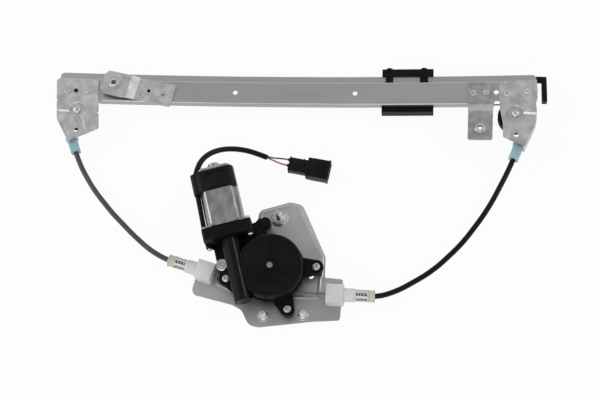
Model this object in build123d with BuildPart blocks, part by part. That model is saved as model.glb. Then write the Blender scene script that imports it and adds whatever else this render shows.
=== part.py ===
from build123d import *
import os
from math import asin, atan2, cos, degrees, pi, radians, sin, tan

# A single-rail cable window regulator, lying on its back: +X runs along the guide rail, +Y points
# from the motor unit to the rail, +Z points away from the glass. Millimetres.

os.makedirs("parts", exist_ok=True)

# Sheet, fits and gaps
sheet = 1.5                     # bracket steel
rail_sheet = 1.2                # rail steel
seat_gap = 0.16                 # flat brackets on the bowed web
run_gap = 0.05                  # shafts in bushes, radial
through = 20.0                  # depth of the cuts that pass through
slide_gap = 0.35                # plastic guides on the rail

# Guide rail: a hat section rolled to the curve of the door glass
rail_y = 106.0
bow_low_x = -44.5
bow_r = 3900.0
web_low_z = 15.2
rail_left_x = -248.2
rail_right_x = 241.0
web_w = 25.2
wall_h = 7.6
flange_w = 8.8
fold_r = 2.0
rail_corner_r = 4.0
rail_hole_r = 2.5
rail_hole_xs = (-63.0, 60.0, 201.3)
wall_left_x = -204.0
wall_right_x = 199.5
wall_cut = 3.1                  # the web's lower fold goes with its wall

# Pulleys and the inner cable
cable_r = 0.75
cable_z = -10.0                 # below the web's front face
cable_gap = 0.15
pulley_pitch_r = 14.5
pulley_r = 17.0
pulley_w = 7.0
pulley_drop = 23.8              # pivot below the web's middle
left_pivot_x = -225.0
right_pivot_x = 219.5
pin_r = 3.2
pin_head_r = 4.0
pin_head_h = 2.2
dish_r = 8.6
dish_depth = 1.8
exit_turn = 22.0                # the cable leaves each pulley at this angle to Y
lip_depth = 14.5

# Conduits
conduit_r = 2.6
conduit_bore_r = 1.1
fitting_starts = {-1: 24.0, 1: 26.1}    # along the cable, from where it leaves the pulley
fitting_len = 16.8
fitting_r = 4.4
fitting_w = 9.4
fitting_grip = 7.0

# Motor and drum unit: its drum axis
drum_x = -14.5
drum_y = -83.0
plate_t = 1.4
pad_rise = 3.0
drum_pitch_r = 20.0
groove_pitch = 2.0
groove_count = 4
left_groove = 1
right_groove = 2
drum_floor_z = 6.3
drum_flange = 1.2
drum_edge_r = 21.6
axle_r = 3.0

# Gear train
wheel_teeth = 61
wheel_r = 26.5
worm_r = 5.5
gear_mid_z = 27.5
wheel_w = 9.0
tooth_add = 0.8
tooth_ded = 0.95
tooth_w = 1.18
thread_w = 1.1
flank_slope = 0.28
motor_turn = 16.0               # the motor leans this far from Y

# Gear housing
case_r = 31.5
case_ring_r = 32.6
case_top_z = 35.0
case_ring_z = 22.0
case_skirt_z = 15.0
case_wall = 2.0
chamber_r = 28.4
lid_r = 29.2
lid_z = 17.5
lid_t = 2.0
tunnel_r = 8.6
tunnel_bore_r = 6.9
tunnel_end = -27.0
neck_start = 37.5
neck_end = 49.5
neck_w = 49.0
neck_h = 26.0
neck_drop = 0.5
neck_round = 3.0
lug_r = 7.0
lug_top_z = 16.5
lug_t = 3.5
blind_bite = 4.6
screw_r = 2.5
screw_head_r = 3.6
screw_head_h = 2.4

# Motor
can_r = 19.2
can_flat = 14.1
can_wall = 1.3
can_end = 111.0
boss_r = 6.0
boss_len = 6.5
shaft_r = 3.0
core_r = 11.6
core_start = 63.0
core_len = 32.0

module_lead = 2 * pi * wheel_r / wheel_teeth
center_dist = wheel_r + worm_r
bow_z = web_low_z + bow_r
floor = Plane.XY
unit = Plane(origin=(drum_x, drum_y, 0))
bow_axis = Axis((bow_low_x, rail_y, bow_z), (0, -1, 0))

lean = radians(motor_turn)
motor_dir = Vector(-sin(lean), cos(lean), 0)
outward = Vector(-cos(lean), -sin(lean), 0)
worm_foot = Vector(drum_x, drum_y, gear_mid_z) + outward * center_dist
motor_axis = Axis(worm_foot, motor_dir)
motor_flat = Plane(origin=worm_foot, x_dir=motor_dir, z_dir=(0, 0, 1))


def across_motor(along):
    """Plane square to the motor axis: local x points away from the drum, local y up."""
    return Plane(origin=worm_foot + motor_dir * along, x_dir=outward, z_dir=motor_dir)


def station(x):
    """Plane on the web's front face at x: local x along the rail, local y as Y, z to the front."""
    turn = asin((x - bow_low_x) / bow_r)
    origin = (x, rail_y, bow_z - bow_r * cos(turn))
    return Plane(origin=origin, x_dir=(cos(turn), 0, sin(turn)), z_dir=(-sin(turn), 0, cos(turn)))


def section(x):
    """Plane square to the rail at x: local x as Y, local y to the front."""
    along = station(x).x_dir
    return Plane(origin=station(x).origin, x_dir=(0, 1, 0), z_dir=along)


def bow_angle(x_from, x_to):
    return degrees(asin((x_to - bow_low_x) / bow_r) - asin((x_from - bow_low_x) / bow_r))


def pivot(x):
    """Plane on a pulley's pivot, in the web's front face."""
    base = station(x)
    return Plane(origin=base.origin - base.y_dir * pulley_drop, x_dir=base.x_dir, z_dir=base.z_dir)


def keep(piece, label):
    piece.part.label = label
    export_step(piece.part, f"parts/{label}.step")


# Rivets through the web: two at each pulley bracket, two at each door bracket
rivet_r = 2.0
rivet_head_r = 3.2
rivet_head_h = 1.1
left_rivets = [(-12.6, 20.3), (7.5, 21.2)]
right_rivets = [(-7.8, 20.7), (12.2, 23.1)]
left_foot = Plane(station(-146).location * Location((-42.1, 6.2, 0), (0, 0, -11.7)))
right_foot = Plane(station(186.9).location * Location((0, 1.0, 0), (0, 0, -91.8)))
left_clinches = [(28.2, 6.2), (29.5, -6.4)]
right_clinches = [(2.7, -8.4), (2.3, 4.2)]
rivet_spots = (
    [(pivot(left_pivot_x), spot) for spot in left_rivets]
    + [(pivot(right_pivot_x), spot) for spot in right_rivets]
    + [(left_foot, spot) for spot in left_clinches]
    + [(right_foot, spot) for spot in right_clinches]
)

# Guide rail: galvanised hat section, curved like the glass, its lower wall cut away at the pulleys
half_web = web_w / 2
flange_top = half_web + flange_w
with BuildPart() as guide_rail:
    with BuildSketch(section(rail_left_x)):
        with BuildLine():
            FilletPolyline(
                (-half_web, -wall_h),
                (-half_web, 0),
                (half_web, 0),
                (half_web, rail_sheet - wall_h),
                (flange_top, rail_sheet - wall_h),
                (flange_top, -wall_h),
                (half_web - rail_sheet, -wall_h),
                (half_web - rail_sheet, -rail_sheet),
                (rail_sheet - half_web, -rail_sheet),
                (rail_sheet - half_web, -wall_h),
                radius=[0, fold_r, fold_r, 0, 0, 0, fold_r, fold_r - rail_sheet, fold_r - rail_sheet, 0],
                close=True,
            )
        make_face()
    revolve(axis=bow_axis, revolution_arc=bow_angle(rail_left_x, rail_right_x))
    for edge_x, side in ((wall_left_x, -1), (wall_right_x, 1)):
        with BuildSketch(station(edge_x).offset(-wall_h - 1)):
            with Locations((0, -half_web)):
                Rectangle(
                    3 * (rail_right_x - wall_right_x),
                    2 * wall_cut,
                    align=(Align.MIN if side > 0 else Align.MAX, Align.CENTER),
                )
        extrude(amount=wall_h + 3, mode=Mode.SUBTRACT)
    for hole_x in rail_hole_xs:
        with BuildSketch(station(hole_x)):
            Circle(rail_hole_r)
        extrude(amount=2 * rail_sheet, both=True, mode=Mode.SUBTRACT)
    for base, spot in rivet_spots:
        with BuildSketch(base.offset(-rail_sheet)):
            with Locations(spot):
                Circle(rivet_r)
        extrude(amount=2 * rail_sheet, both=True, mode=Mode.SUBTRACT)
    for end_x in (rail_left_x, rail_right_x):
        corner = guide_rail.edges().filter_by(
            lambda e: abs(e.center().X - end_x) < 3 and e.length < rail_sheet + 0.2
        )
        top = corner.group_by(Axis.Y)[-1].sort_by(Axis.X)
        fillet(top[0] if end_x < 0 else top[-1], rail_corner_r)
keep(guide_rail, "guide_rail")

# Pulley brackets: stamped cups riveted over the web's ends, dished at the pulley pin, with a lip
# folded back round the outer side, notched where the conduit fitting comes out
left_outline = [
    (-24.7, 33.4), (18.8, 34.7), (22.6, -1.6), (24.8, -20.2), (3, -31),
    (-5.4, -35), (-19.6, -10.8),
]
right_outline = [
    (-15.4, 34.8), (21.8, 36.4), (22.3, 18), (20.3, 9.2), (21, 2.8),
    (20.3, -9), (8.4, -36), (-0.6, -31.6), (-12.5, -25.1), (-12.3, -11.1), (-15.2, 7.8),
]
left_notches = [(-22.2, 9.5), (22.6, -2.6)]
right_notches = [(22, 19.5), (20.6, 3.4)]
notch_r = 1.2
left_press = [(-60, -1), (0, -0.5), (5.8, -6.2), (14, -26.5), (14, -60), (-60, -60)]
right_press = [(60, -4), (0, 2), (-4.8, -6.6), (-9.6, -30), (-9.6, -60), (60, -60)]
press_slope = 40
dish_floor = seat_gap - dish_depth
bracket_round = 1.6
bracket_hole_r = 2.4
turn_out = radians(exit_turn)
collar_h = 2.5
collar_w = 11.6


def cable_exit(x, side, along):
    """World point on the cable's straight run out of a pulley, this far from its tangent point."""
    spot = (
        side * (pulley_pitch_r * cos(turn_out) - along * sin(turn_out)),
        -pulley_pitch_r * sin(turn_out) - along * cos(turn_out),
        cable_z,
    )
    return pivot(x).from_local_coords(Vector(*spot))


def fitting_plane(x, side, along):
    run = (cable_exit(x, side, along + 1) - cable_exit(x, side, along)).normalized()
    return Plane(origin=cable_exit(x, side, along), x_dir=pivot(x).z_dir, z_dir=run)


def fitting_section(start, across, reach):
    """Block across the fitting's way, open towards the back as far as reach."""
    with BuildSketch(start) as outline:
        with Locations(((fitting_r - reach) / 2, 0)):
            Rectangle(fitting_r + reach, across)
    return outline.sketch


def pulley_bracket(x, side, outline, rivets, holes, notches, press, lip_zone):
    with BuildPart() as piece:
        with BuildSketch(pivot(x).offset(seat_gap)):
            with BuildLine():
                FilletPolyline(*outline, radius=bracket_round, close=True)
            make_face()
        extrude(amount=sheet)
        with BuildSketch(pivot(x).offset(-lip_depth)):
            with BuildLine():
                FilletPolyline(*outline, radius=bracket_round, close=True)
            make_face()
            offset(amount=-sheet, mode=Mode.SUBTRACT)
            with BuildLine():
                Polyline(*lip_zone, close=True)
            make_face(mode=Mode.INTERSECT)
        extrude(amount=lip_depth + seat_gap + sheet / 2)
        for top, mode in ((seat_gap, Mode.ADD), (seat_gap + sheet, Mode.SUBTRACT)):
            with BuildSketch(pivot(x).offset(top)):
                with BuildLine():
                    FilletPolyline(*outline, radius=bracket_round, close=True)
                make_face()
                with BuildLine():
                    Polyline(*press, close=True)
                make_face(mode=Mode.INTERSECT)
                Circle(dish_r)
            extrude(amount=-dish_depth, taper=press_slope, mode=mode)
        with BuildSketch(pivot(x).offset(dish_floor)):
            Circle(pin_r)
        extrude(amount=sheet, mode=Mode.SUBTRACT)
        with BuildSketch(pivot(x).offset(-dish_depth)):
            with Locations(*rivets):
                Circle(rivet_r)
            with Locations(*holes):
                Circle(bracket_hole_r)
            with Locations(*notches):
                Circle(notch_r)
        extrude(amount=2 * sheet + dish_depth, mode=Mode.SUBTRACT)
        for along, across, length in (
            (0, fitting_w + 2 * slide_gap, fitting_len),
            (-cable_gap, collar_w + 2 * cable_gap, collar_h + 2 * cable_gap),
        ):
            way = fitting_plane(x, side, fitting_starts[side] + along)
            extrude(fitting_section(way, across, lip_depth), amount=length, mode=Mode.SUBTRACT)
    return piece


left_pulley_bracket = pulley_bracket(
    left_pivot_x, -1, left_outline, left_rivets, [(-3.3, 21.3), (1.1, -21.6)], left_notches, left_press,
    [(-30, 9), (-14, 9), (-14, -8), (0, -32), (-8, -45), (-40, -30)],
)
right_pulley_bracket = pulley_bracket(
    right_pivot_x, 1, right_outline, right_rivets, [(0.5, -22.6)], right_notches, right_press,
    [(30, 9), (14, 9), (14, -8), (2, -34), (8, -45), (40, -30)],
)
keep(left_pulley_bracket, "left_pulley_bracket")
keep(right_pulley_bracket, "right_pulley_bracket")


# Pulley pins: shouldered rivets, headed over at the back
pulley_front = cable_z + pulley_w / 2
pulley_back = cable_z - pulley_w / 2
pin_collar_r = 6.5
pin_tail_r = 7.0
pin_tail_h = 1.8


def pulley_pin(x):
    with BuildPart() as piece:
        with BuildSketch(pivot(x).offset(pulley_back - run_gap)):
            Circle(pin_r - run_gap)
        extrude(amount=pulley_w + 2 * run_gap)
        with BuildSketch(pivot(x).offset(pulley_front + run_gap)):
            Circle(pin_collar_r)
        extrude(amount=dish_floor - pulley_front - run_gap)
        with BuildSketch(pivot(x).offset(dish_floor)):
            Circle(pin_r)
        extrude(amount=sheet)
        with BuildSketch(pivot(x).offset(dish_floor + sheet)):
            Circle(pin_head_r)
        head = extrude(amount=pin_head_h)
        fillet(head.edges().filter_by(GeomType.CIRCLE).sort_by(Axis.Z)[-1], pin_head_h / 2)
        with BuildSketch(pivot(x).offset(pulley_back - run_gap)):
            Circle(pin_tail_r)
        tail = extrude(amount=-pin_tail_h)
        chamfer(tail.edges().filter_by(GeomType.CIRCLE).sort_by(Axis.Z)[0], pin_tail_h / 3)
    return piece


# Cable pulleys: moulded, one groove each
def pulley(x):
    half = pulley_w / 2
    spoke_hole_r = 2.6
    base = pivot(x)
    across = Plane(
        origin=base.from_local_coords(Vector(0, 0, cable_z)), x_dir=base.x_dir, z_dir=-base.y_dir
    )
    groove_r = cable_r + cable_gap
    with BuildPart() as piece:
        with BuildSketch(across):
            with BuildLine():
                Polyline(
                    (pin_r, -half),
                    (pulley_r, -half),
                    (pulley_r, 1.2 - half),
                    (pulley_pitch_r, -groove_r),
                    (pulley_pitch_r, groove_r),
                    (pulley_r, half - 1.2),
                    (pulley_r, half),
                    (pin_r, half),
                    close=True,
                )
            make_face()
            with Locations((pulley_pitch_r, 0)):
                Circle(groove_r, mode=Mode.SUBTRACT)
        revolve(axis=Axis(across.origin, base.z_dir))
        with BuildSketch(base.offset(pulley_back)):
            with PolarLocations(pulley_pitch_r * 0.62, 6):
                Circle(spoke_hole_r)
        extrude(amount=pulley_w, mode=Mode.SUBTRACT)
    return piece


for name, x in (("left", left_pivot_x), ("right", right_pivot_x)):
    keep(pulley_pin(x), f"{name}_pulley_pin")
    keep(pulley(x), f"{name}_pulley")


# Conduit end fittings: light blue moulded blocks, headed inside the brackets' notches
def conduit_fitting(x, side):
    start = fitting_starts[side]
    with BuildPart() as piece:
        with BuildSketch(fitting_plane(x, side, start)):
            RectangleRounded(2 * fitting_r, fitting_w, 1.2)
        extrude(amount=fitting_len)
        with BuildSketch(fitting_plane(x, side, start)):
            Rectangle(2 * fitting_r, collar_w)
        extrude(amount=collar_h)
        with BuildSketch(fitting_plane(x, side, start)):
            Circle(conduit_bore_r)
        extrude(amount=fitting_len, mode=Mode.SUBTRACT)
        with BuildSketch(fitting_plane(x, side, start + fitting_len - fitting_grip)):
            Circle(conduit_r)
        extrude(amount=fitting_grip, mode=Mode.SUBTRACT)
    return piece


keep(conduit_fitting(left_pivot_x, -1), "left_conduit_fitting")
keep(conduit_fitting(right_pivot_x, 1), "right_conduit_fitting")

# Conduit adjusters: a moulded block on the base plate, a sleeve, a spring and an end collar
feed_turn = {"left": motor_turn + 0.4, "right": 1.3}
feed_sign = {"left": -1, "right": 1}
feed_z = {
    "left": drum_floor_z + drum_flange + groove_pitch * (left_groove + 0.5),
    "right": drum_floor_z + drum_flange + groove_pitch * (right_groove + 0.5),
}
pivot_x = {"left": left_pivot_x, "right": right_pivot_x}
block_start = 53.5
block_len = 17.5
block_w = 18.0
block_h = 18.0
slot_count = 3
sleeve_len = 10.0
sleeve_r = 6.6
spring_r = 4.4
spring_wire_r = 0.55
spring_seat = 3.0
spring_turns = 5
spring_len = 12.5
collar_len = 7.0
collar_r = 5.6
conduit_seat = 4.5
block_end = block_start + block_len
sleeve_end = block_end + sleeve_len
spring_end = sleeve_end + spring_len
collar_end = spring_end + collar_len


def feed(side, along):
    """World point on a cable's straight feed, this far from where it meets the drum."""
    way = radians(feed_turn[side])
    run = feed_sign[side] * along
    x = drum_x - drum_pitch_r * sin(way) + run * cos(way)
    y = drum_y - drum_pitch_r * cos(way) - run * sin(way)
    return Vector(x, y, feed_z[side])


def feed_plane(side, along):
    """Plane square to a feed, facing away from the drum: local x points up."""
    run = (feed(side, along + 1) - feed(side, along)).normalized()
    return Plane(origin=feed(side, along), x_dir=(0, 0, 1), z_dir=run)


def adjuster_block(side):
    foot = plate_t - feed_z[side]
    slot_w = block_w / (2 * slot_count + 1)
    with BuildPart() as piece:
        with BuildSketch(feed_plane(side, block_start)):
            with Locations((foot + block_h / 2, 0)):
                RectangleRounded(block_h, block_w, 1.5)
            Circle(conduit_bore_r, mode=Mode.SUBTRACT)
        extrude(amount=block_len)
        with BuildSketch(feed_plane(side, block_start + block_len / 4)):
            with Locations((foot + block_h, 0)):
                with GridLocations(1, 2 * slot_w, 1, slot_count):
                    Rectangle(3, slot_w)
        extrude(amount=block_len / 2, mode=Mode.SUBTRACT)
    return piece


def adjuster_sleeve(side):
    with BuildPart() as piece:
        with BuildSketch(feed_plane(side, block_end)):
            Circle(sleeve_r)
        barrel = extrude(amount=sleeve_len)
        chamfer(barrel.edges().filter_by(GeomType.CIRCLE), 0.6)
        with BuildSketch(feed_plane(side, block_end)):
            Circle(conduit_bore_r)
        extrude(amount=sleeve_len, mode=Mode.SUBTRACT)
        with BuildSketch(feed_plane(side, sleeve_end)):
            Circle(spring_r + 2 * spring_wire_r)
            Circle(spring_r - 2 * spring_wire_r, mode=Mode.SUBTRACT)
        extrude(amount=-spring_seat, mode=Mode.SUBTRACT)
    return piece


def adjuster_spring(side):
    rise = spring_len + spring_seat - 2 * spring_wire_r
    start = feed_plane(side, sleeve_end - spring_seat + spring_wire_r)
    coil = start * Helix(pitch=rise / spring_turns, height=rise, radius=spring_r)
    with BuildPart() as piece:
        with BuildSketch(Plane(origin=coil @ 0, z_dir=coil % 0)):
            Circle(spring_wire_r)
        sweep(path=coil, is_frenet=True)
    return piece


def adjuster_collar(side):
    with BuildPart() as piece:
        with BuildSketch(feed_plane(side, spring_end)):
            Circle(collar_r)
        barrel = extrude(amount=collar_len)
        chamfer(barrel.edges().filter_by(GeomType.CIRCLE), 0.8)
        with BuildSketch(feed_plane(side, spring_end)):
            Circle(conduit_bore_r)
        extrude(amount=collar_len, mode=Mode.SUBTRACT)
        with BuildSketch(feed_plane(side, collar_end)):
            Circle(conduit_r)
        extrude(amount=-conduit_seat, mode=Mode.SUBTRACT)
    return piece


for side in feed_sign:
    keep(adjuster_block(side), f"{side}_adjuster_block")
    keep(adjuster_sleeve(side), f"{side}_adjuster_sleeve")
    keep(adjuster_spring(side), f"{side}_adjuster_spring")
    keep(adjuster_collar(side), f"{side}_adjuster_collar")


# Conduits, and the inner cable they carry: both follow the same corners from pulley to adjuster
route_middle = {
    "left": [(-199.5, -2.5, 11.6), (-178.5, -26, 11.2), (-155, -48.5, 10.9), (-137, -63.5, 10.6)],
    "right": [(192, -18, 19.5), (167.5, -52, 17), (140, -79.5, 15), (108.5, -98.5, 13.3)],
}
first_corner = 55.0
last_corner = 105.0
arc_share = 0.45
carrier_x = 113.0
wrap_turn = radians(100)


def route(side):
    """Corners of a cable's run from its pulley to its drum."""
    x = pivot_x[side]
    sign = feed_sign[side]
    return [
        cable_exit(x, sign, 0),
        cable_exit(x, sign, first_corner),
        *[Vector(*spot) for spot in route_middle[side]],
        feed(side, last_corner),
        feed(side, 0),
    ]


def corner_radii(points):
    radii = []
    for before, here, after in zip(points, points[1:], points[2:]):
        turn = radians((here - before).get_angle(after - here))
        shorter = min((here - before).length, (after - here).length)
        radii.append(min(arc_share * shorter / tan(turn / 2), 160.0))
    return radii


def conduit(side):
    corners = route(side)
    sign = feed_sign[side]
    seat = fitting_starts[sign] + fitting_len - fitting_grip
    start = cable_exit(pivot_x[side], sign, seat)
    end = feed(side, collar_end - conduit_seat)
    with BuildPart() as piece:
        with BuildLine() as line:
            FilletPolyline(start, *corners[1:-1], end, radius=corner_radii(corners))
        path = line.wire()
        with BuildSketch(Plane(origin=path @ 0, z_dir=path % 0)):
            Circle(conduit_r)
            Circle(conduit_bore_r, mode=Mode.SUBTRACT)
        sweep(path=path)
    wall = pi * (conduit_r ** 2 - conduit_bore_r ** 2)
    print(side, "conduit: corner radii", [round(r) for r in corner_radii(corners)])
    print(side, "conduit:", round(path.length, 1), "mm; volume / (section x length)",
          round(piece.part.volume / (wall * path.length), 4))
    return piece


def bow_point(share):
    """World point on the cable behind the rail: share 0 at the carrier's rest, 1 and -1 at the pulleys."""
    cable_bow_r = bow_r - cable_z
    far = right_pivot_x if share > 0 else left_pivot_x
    rest = asin((carrier_x - bow_low_x) / bow_r)
    turn = rest + abs(share) * (asin((far - bow_low_x) / bow_r) - rest)
    y = rail_y - pulley_drop + pulley_pitch_r
    return Vector(bow_low_x + cable_bow_r * sin(turn), y, bow_z - cable_bow_r * cos(turn))


def pulley_point(side, share):
    """World point on the cable's arc round a pulley: share 0 at the rail, 1 where it leaves."""
    sign = feed_sign[side]
    angle = pi / 2 - sign * share * (pi / 2 + turn_out)
    spot = Vector(pulley_pitch_r * cos(angle), pulley_pitch_r * sin(angle), cable_z)
    return pivot(pivot_x[side]).from_local_coords(spot)


def drum_point(side, share):
    """World point on the cable's first part round the drum."""
    angle = -pi / 2 - radians(feed_turn[side]) - feed_sign[side] * share * wrap_turn
    return Vector(
        drum_x + drum_pitch_r * cos(angle), drum_y + drum_pitch_r * sin(angle), feed_z[side]
    )


def cable(side):
    corners = route(side)
    sign = feed_sign[side]
    with BuildPart() as piece:
        with BuildLine() as line:
            ThreePointArc(bow_point(0), bow_point(sign / 2), pulley_point(side, 0))
            ThreePointArc(*[pulley_point(side, share) for share in (0, 0.5, 1)])
            FilletPolyline(*corners, radius=corner_radii(corners))
            ThreePointArc(*[drum_point(side, share) for share in (0, 0.5, 1)])
        path = line.wire()
        with BuildSketch(Plane(origin=path @ 0, z_dir=path % 0)):
            Circle(cable_r)
        sweep(path=path)
    print(side, "cable:", round(path.length, 1), "mm; volume / (section x length)",
          round(piece.part.volume / (pi * cable_r ** 2 * path.length), 4))
    return piece


for side in feed_sign:
    keep(conduit(side), f"{side}_conduit")
    keep(cable(side), f"{side}_cable")


# Door brackets: a joggled foot riveted to the web, its weld nut behind a raised head
foot_rise = 4.5
left_foot_outline = [
    (62.6, -12), (62.6, 12.7), (24, 12.7), (11, 11.8), (-9, 11.8), (-12.7, 7), (-12.7, -9.7),
    (-8, -14.5), (11, -14.5), (24, -12),
]
left_foot_holes = [(36.2, 0.4), (51.7, -1)]
right_foot_holes = []
left_foot_joggle = (15.0, 24.0)
right_foot_outline = [
    (-9.3, -13.9), (-9.3, 13.6), (0, 12), (26, 11.6), (55, 11.6), (55, -12.6), (26, -12.6),
    (14, -13.9),
]
right_foot_joggle = (15.0, 24.0)
foot_hole_r = 1.8
foot_corner_r = 2.5
foot_half_w = 40.0
joggle_r = 3.0
nut_hole_r = 3.3
nut_r = 4.6
nut_h = 5.0
nut_bore_r = 2.5
left_nut_at = (0.5, -1.6)
right_nut_at = (43.4, -0.6)


def door_bracket(base, outline, holes, clinches, joggle, nut_at):
    """Stamped bracket: base frame's x runs towards the joggle, its head stands foot_rise proud."""
    low, high = joggle
    head_side = -1 if nut_at[0] < low else 1
    flat_at, head_at = (high, low) if head_side < 0 else (low, high)
    far = 2 * foot_half_w * head_side
    side_view = Plane(origin=base.origin, x_dir=base.x_dir, z_dir=-base.y_dir)
    with BuildPart() as piece:
        with BuildSketch(side_view):
            with BuildLine():
                FilletPolyline(
                    (-far, seat_gap),
                    (flat_at, seat_gap),
                    (head_at, foot_rise),
                    (far, foot_rise),
                    (far, foot_rise + sheet),
                    (head_at, foot_rise + sheet),
                    (flat_at, seat_gap + sheet),
                    (-far, seat_gap + sheet),
                    radius=[0, joggle_r, joggle_r, 0, 0, joggle_r, joggle_r, 0],
                    close=True,
                )
            make_face()
        extrude(amount=foot_half_w, both=True)
        with BuildSketch(base):
            with BuildLine():
                FilletPolyline(*outline, radius=foot_corner_r, close=True)
            make_face()
            if holes:
                with Locations(*holes):
                    Circle(foot_hole_r, mode=Mode.SUBTRACT)
            with Locations(*clinches):
                Circle(rivet_r, mode=Mode.SUBTRACT)
            with Locations(nut_at):
                Circle(nut_hole_r, mode=Mode.SUBTRACT)
        extrude(amount=foot_rise + 2 * sheet, mode=Mode.INTERSECT)
    return piece


left_mount_bracket = door_bracket(
    left_foot, left_foot_outline, left_foot_holes, left_clinches, left_foot_joggle, left_nut_at
)
right_mount_bracket = door_bracket(
    right_foot, right_foot_outline, right_foot_holes, right_clinches, right_foot_joggle, right_nut_at
)
keep(left_mount_bracket, "left_mount_bracket")
keep(right_mount_bracket, "right_mount_bracket")

# Weld nuts on the brackets' heads
with BuildPart() as mount_nuts:
    for base, spot in ((left_foot, left_nut_at), (right_foot, right_nut_at)):
        with BuildSketch(base.offset(foot_rise + sheet)):
            with Locations(spot):
                Circle(nut_r)
        extrude(amount=nut_h)
    rims = mount_nuts.edges().filter_by(GeomType.CIRCLE)
    chamfer([e for e in rims if e.center().Z > web_low_z + foot_rise + sheet + nut_h / 2], 0.5)
    for base, spot in ((left_foot, left_nut_at), (right_foot, right_nut_at)):
        with BuildSketch(base.offset(foot_rise)):
            with Locations(spot):
                Circle(nut_bore_r)
        extrude(amount=nut_h + 2 * sheet, mode=Mode.SUBTRACT)
keep(mount_nuts, "mount_nuts")

# Rivets: pulley brackets to web, and the clinched joints of the door brackets
with BuildPart() as rail_rivets:
    for base, spot in rivet_spots:
        with BuildSketch(base.offset(seat_gap + sheet)):
            with Locations(spot):
                Circle(rivet_head_r)
        head = extrude(amount=rivet_head_h)
        fillet(head.edges().filter_by(GeomType.CIRCLE).sort_by(Axis.Z)[-1], rivet_head_h * 0.7)
        with BuildSketch(base.offset(seat_gap + sheet)):
            with Locations(spot):
                Circle(rivet_r)
        extrude(amount=-seat_gap - sheet - rail_sheet - rivet_head_h)
        with BuildSketch(base.offset(-rail_sheet)):
            with Locations(spot):
                Circle(rivet_head_r)
        extrude(amount=-rivet_head_h)
keep(rail_rivets, "rail_rivets")

# Base plate: steel, its middle raised as one pad on a down-turned rim, cones for three studs
plate_outline = [
    (-17.5, 61), (-9.9, 67.5), (14.9, 73.4), (25, 70.4), (30.4, 62.1), (48, 21), (51.4, 18.2),
    (50.4, -2.3), (68.9, -3.9), (67.4, -28.5), (66.5, -44.4), (38.3, -46.4), (10.1, -50.7),
    (-10.5, -53.8), (-18.4, -52), (-23.9, -45.8), (-29.7, -36.6), (-38.2, -32.2), (-56.5, -28),
    (-76.7, -23.3), (-78.1, -17.9), (-75.5, -5), (-56, 4), (-52, 14), (-30, 25), (-20, 50),
]
pad_outline = [
    (-51, 16), (-58.6, -13), (-30, -25), (47.7, -25), (47.7, 10), (24, 64), (12, 68), (-12, 61),
    (-19, 52), (-30, 25),
]
stud_spots = [(-6.3, -42.1), (31.4, -40.3), (3.4, 57.1)]
stud_rises = [plate_t, plate_t, plate_t + pad_rise]
boss_foot_r = 8.4
boss_flat_r = 6.2
boss_rise = 2.2
stud_r = 3.0
stud_collar_r = 4.6
stud_collar_h = 1.0
stud_len = 15.0
stud_head_r = 6.0
stud_head_h = 1.6
foot_spots = [(43, 4.5), (17.1, -38), (-43.7, -9.5)]
dowel_at = (-48.2, 3.6)
dowel_r = 3.0
plate_hole_at = (37.7, -1.7)
plate_hole_r = 2.5
pad_top = plate_t + pad_rise

with BuildPart() as base_plate:
    with BuildSketch(unit):
        with BuildLine():
            FilletPolyline(*plate_outline, radius=2.5, close=True)
        make_face()
    extrude(amount=plate_t)
    with BuildSketch(unit):
        with BuildLine():
            FilletPolyline(*pad_outline, radius=3, close=True)
        make_face()
    pad = extrude(amount=pad_top)
    chamfer(pad.faces().sort_by(Axis.Z)[-1].edges(), plate_t)
    with BuildSketch(unit):
        with BuildLine():
            FilletPolyline(*pad_outline, radius=3, close=True)
        make_face()
        offset(amount=-2 * plate_t)
    extrude(amount=pad_rise, mode=Mode.SUBTRACT)
    for spot, rise in zip(stud_spots, stud_rises):
        with BuildSketch(unit.offset(rise)):
            with Locations(spot):
                Circle(boss_foot_r)
        with BuildSketch(unit.offset(rise + boss_rise)):
            with Locations(spot):
                Circle(boss_flat_r)
        loft()
        with BuildSketch(unit.offset(rise - plate_t)):
            with Locations(spot):
                Circle(boss_foot_r - plate_t)
        with BuildSketch(unit.offset(rise + boss_rise - plate_t)):
            with Locations(spot):
                Circle(boss_flat_r - plate_t / 2)
        loft(mode=Mode.SUBTRACT)
    with BuildSketch(unit):
        with Locations(*stud_spots):
            Circle(stud_r)
        with Locations(plate_hole_at, *foot_spots):
            Circle(plate_hole_r)
        with Locations(dowel_at):
            Circle(dowel_r)
        Circle(axle_r)
    extrude(amount=through, mode=Mode.SUBTRACT)
keep(base_plate, "base_plate")

with BuildPart() as mounting_studs:
    for spot, rise in zip(stud_spots, stud_rises):
        face_z = rise + boss_rise
        with BuildSketch(unit.offset(face_z - plate_t)):
            with Locations(spot):
                Circle(stud_r)
        extrude(amount=plate_t + stud_len)
        with BuildSketch(unit.offset(face_z)):
            with Locations(spot):
                Circle(stud_collar_r)
        extrude(amount=stud_collar_h)
        with BuildSketch(unit.offset(face_z - plate_t)):
            with Locations(spot):
                Circle(stud_head_r - plate_t)
        extrude(amount=-stud_head_h)
    tips = mounting_studs.edges().filter_by(GeomType.CIRCLE)
    chamfer([e for e in tips if e.center().Z > stud_len and e.radius < stud_r + 0.1], 0.7)
keep(mounting_studs, "mounting_studs")

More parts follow.
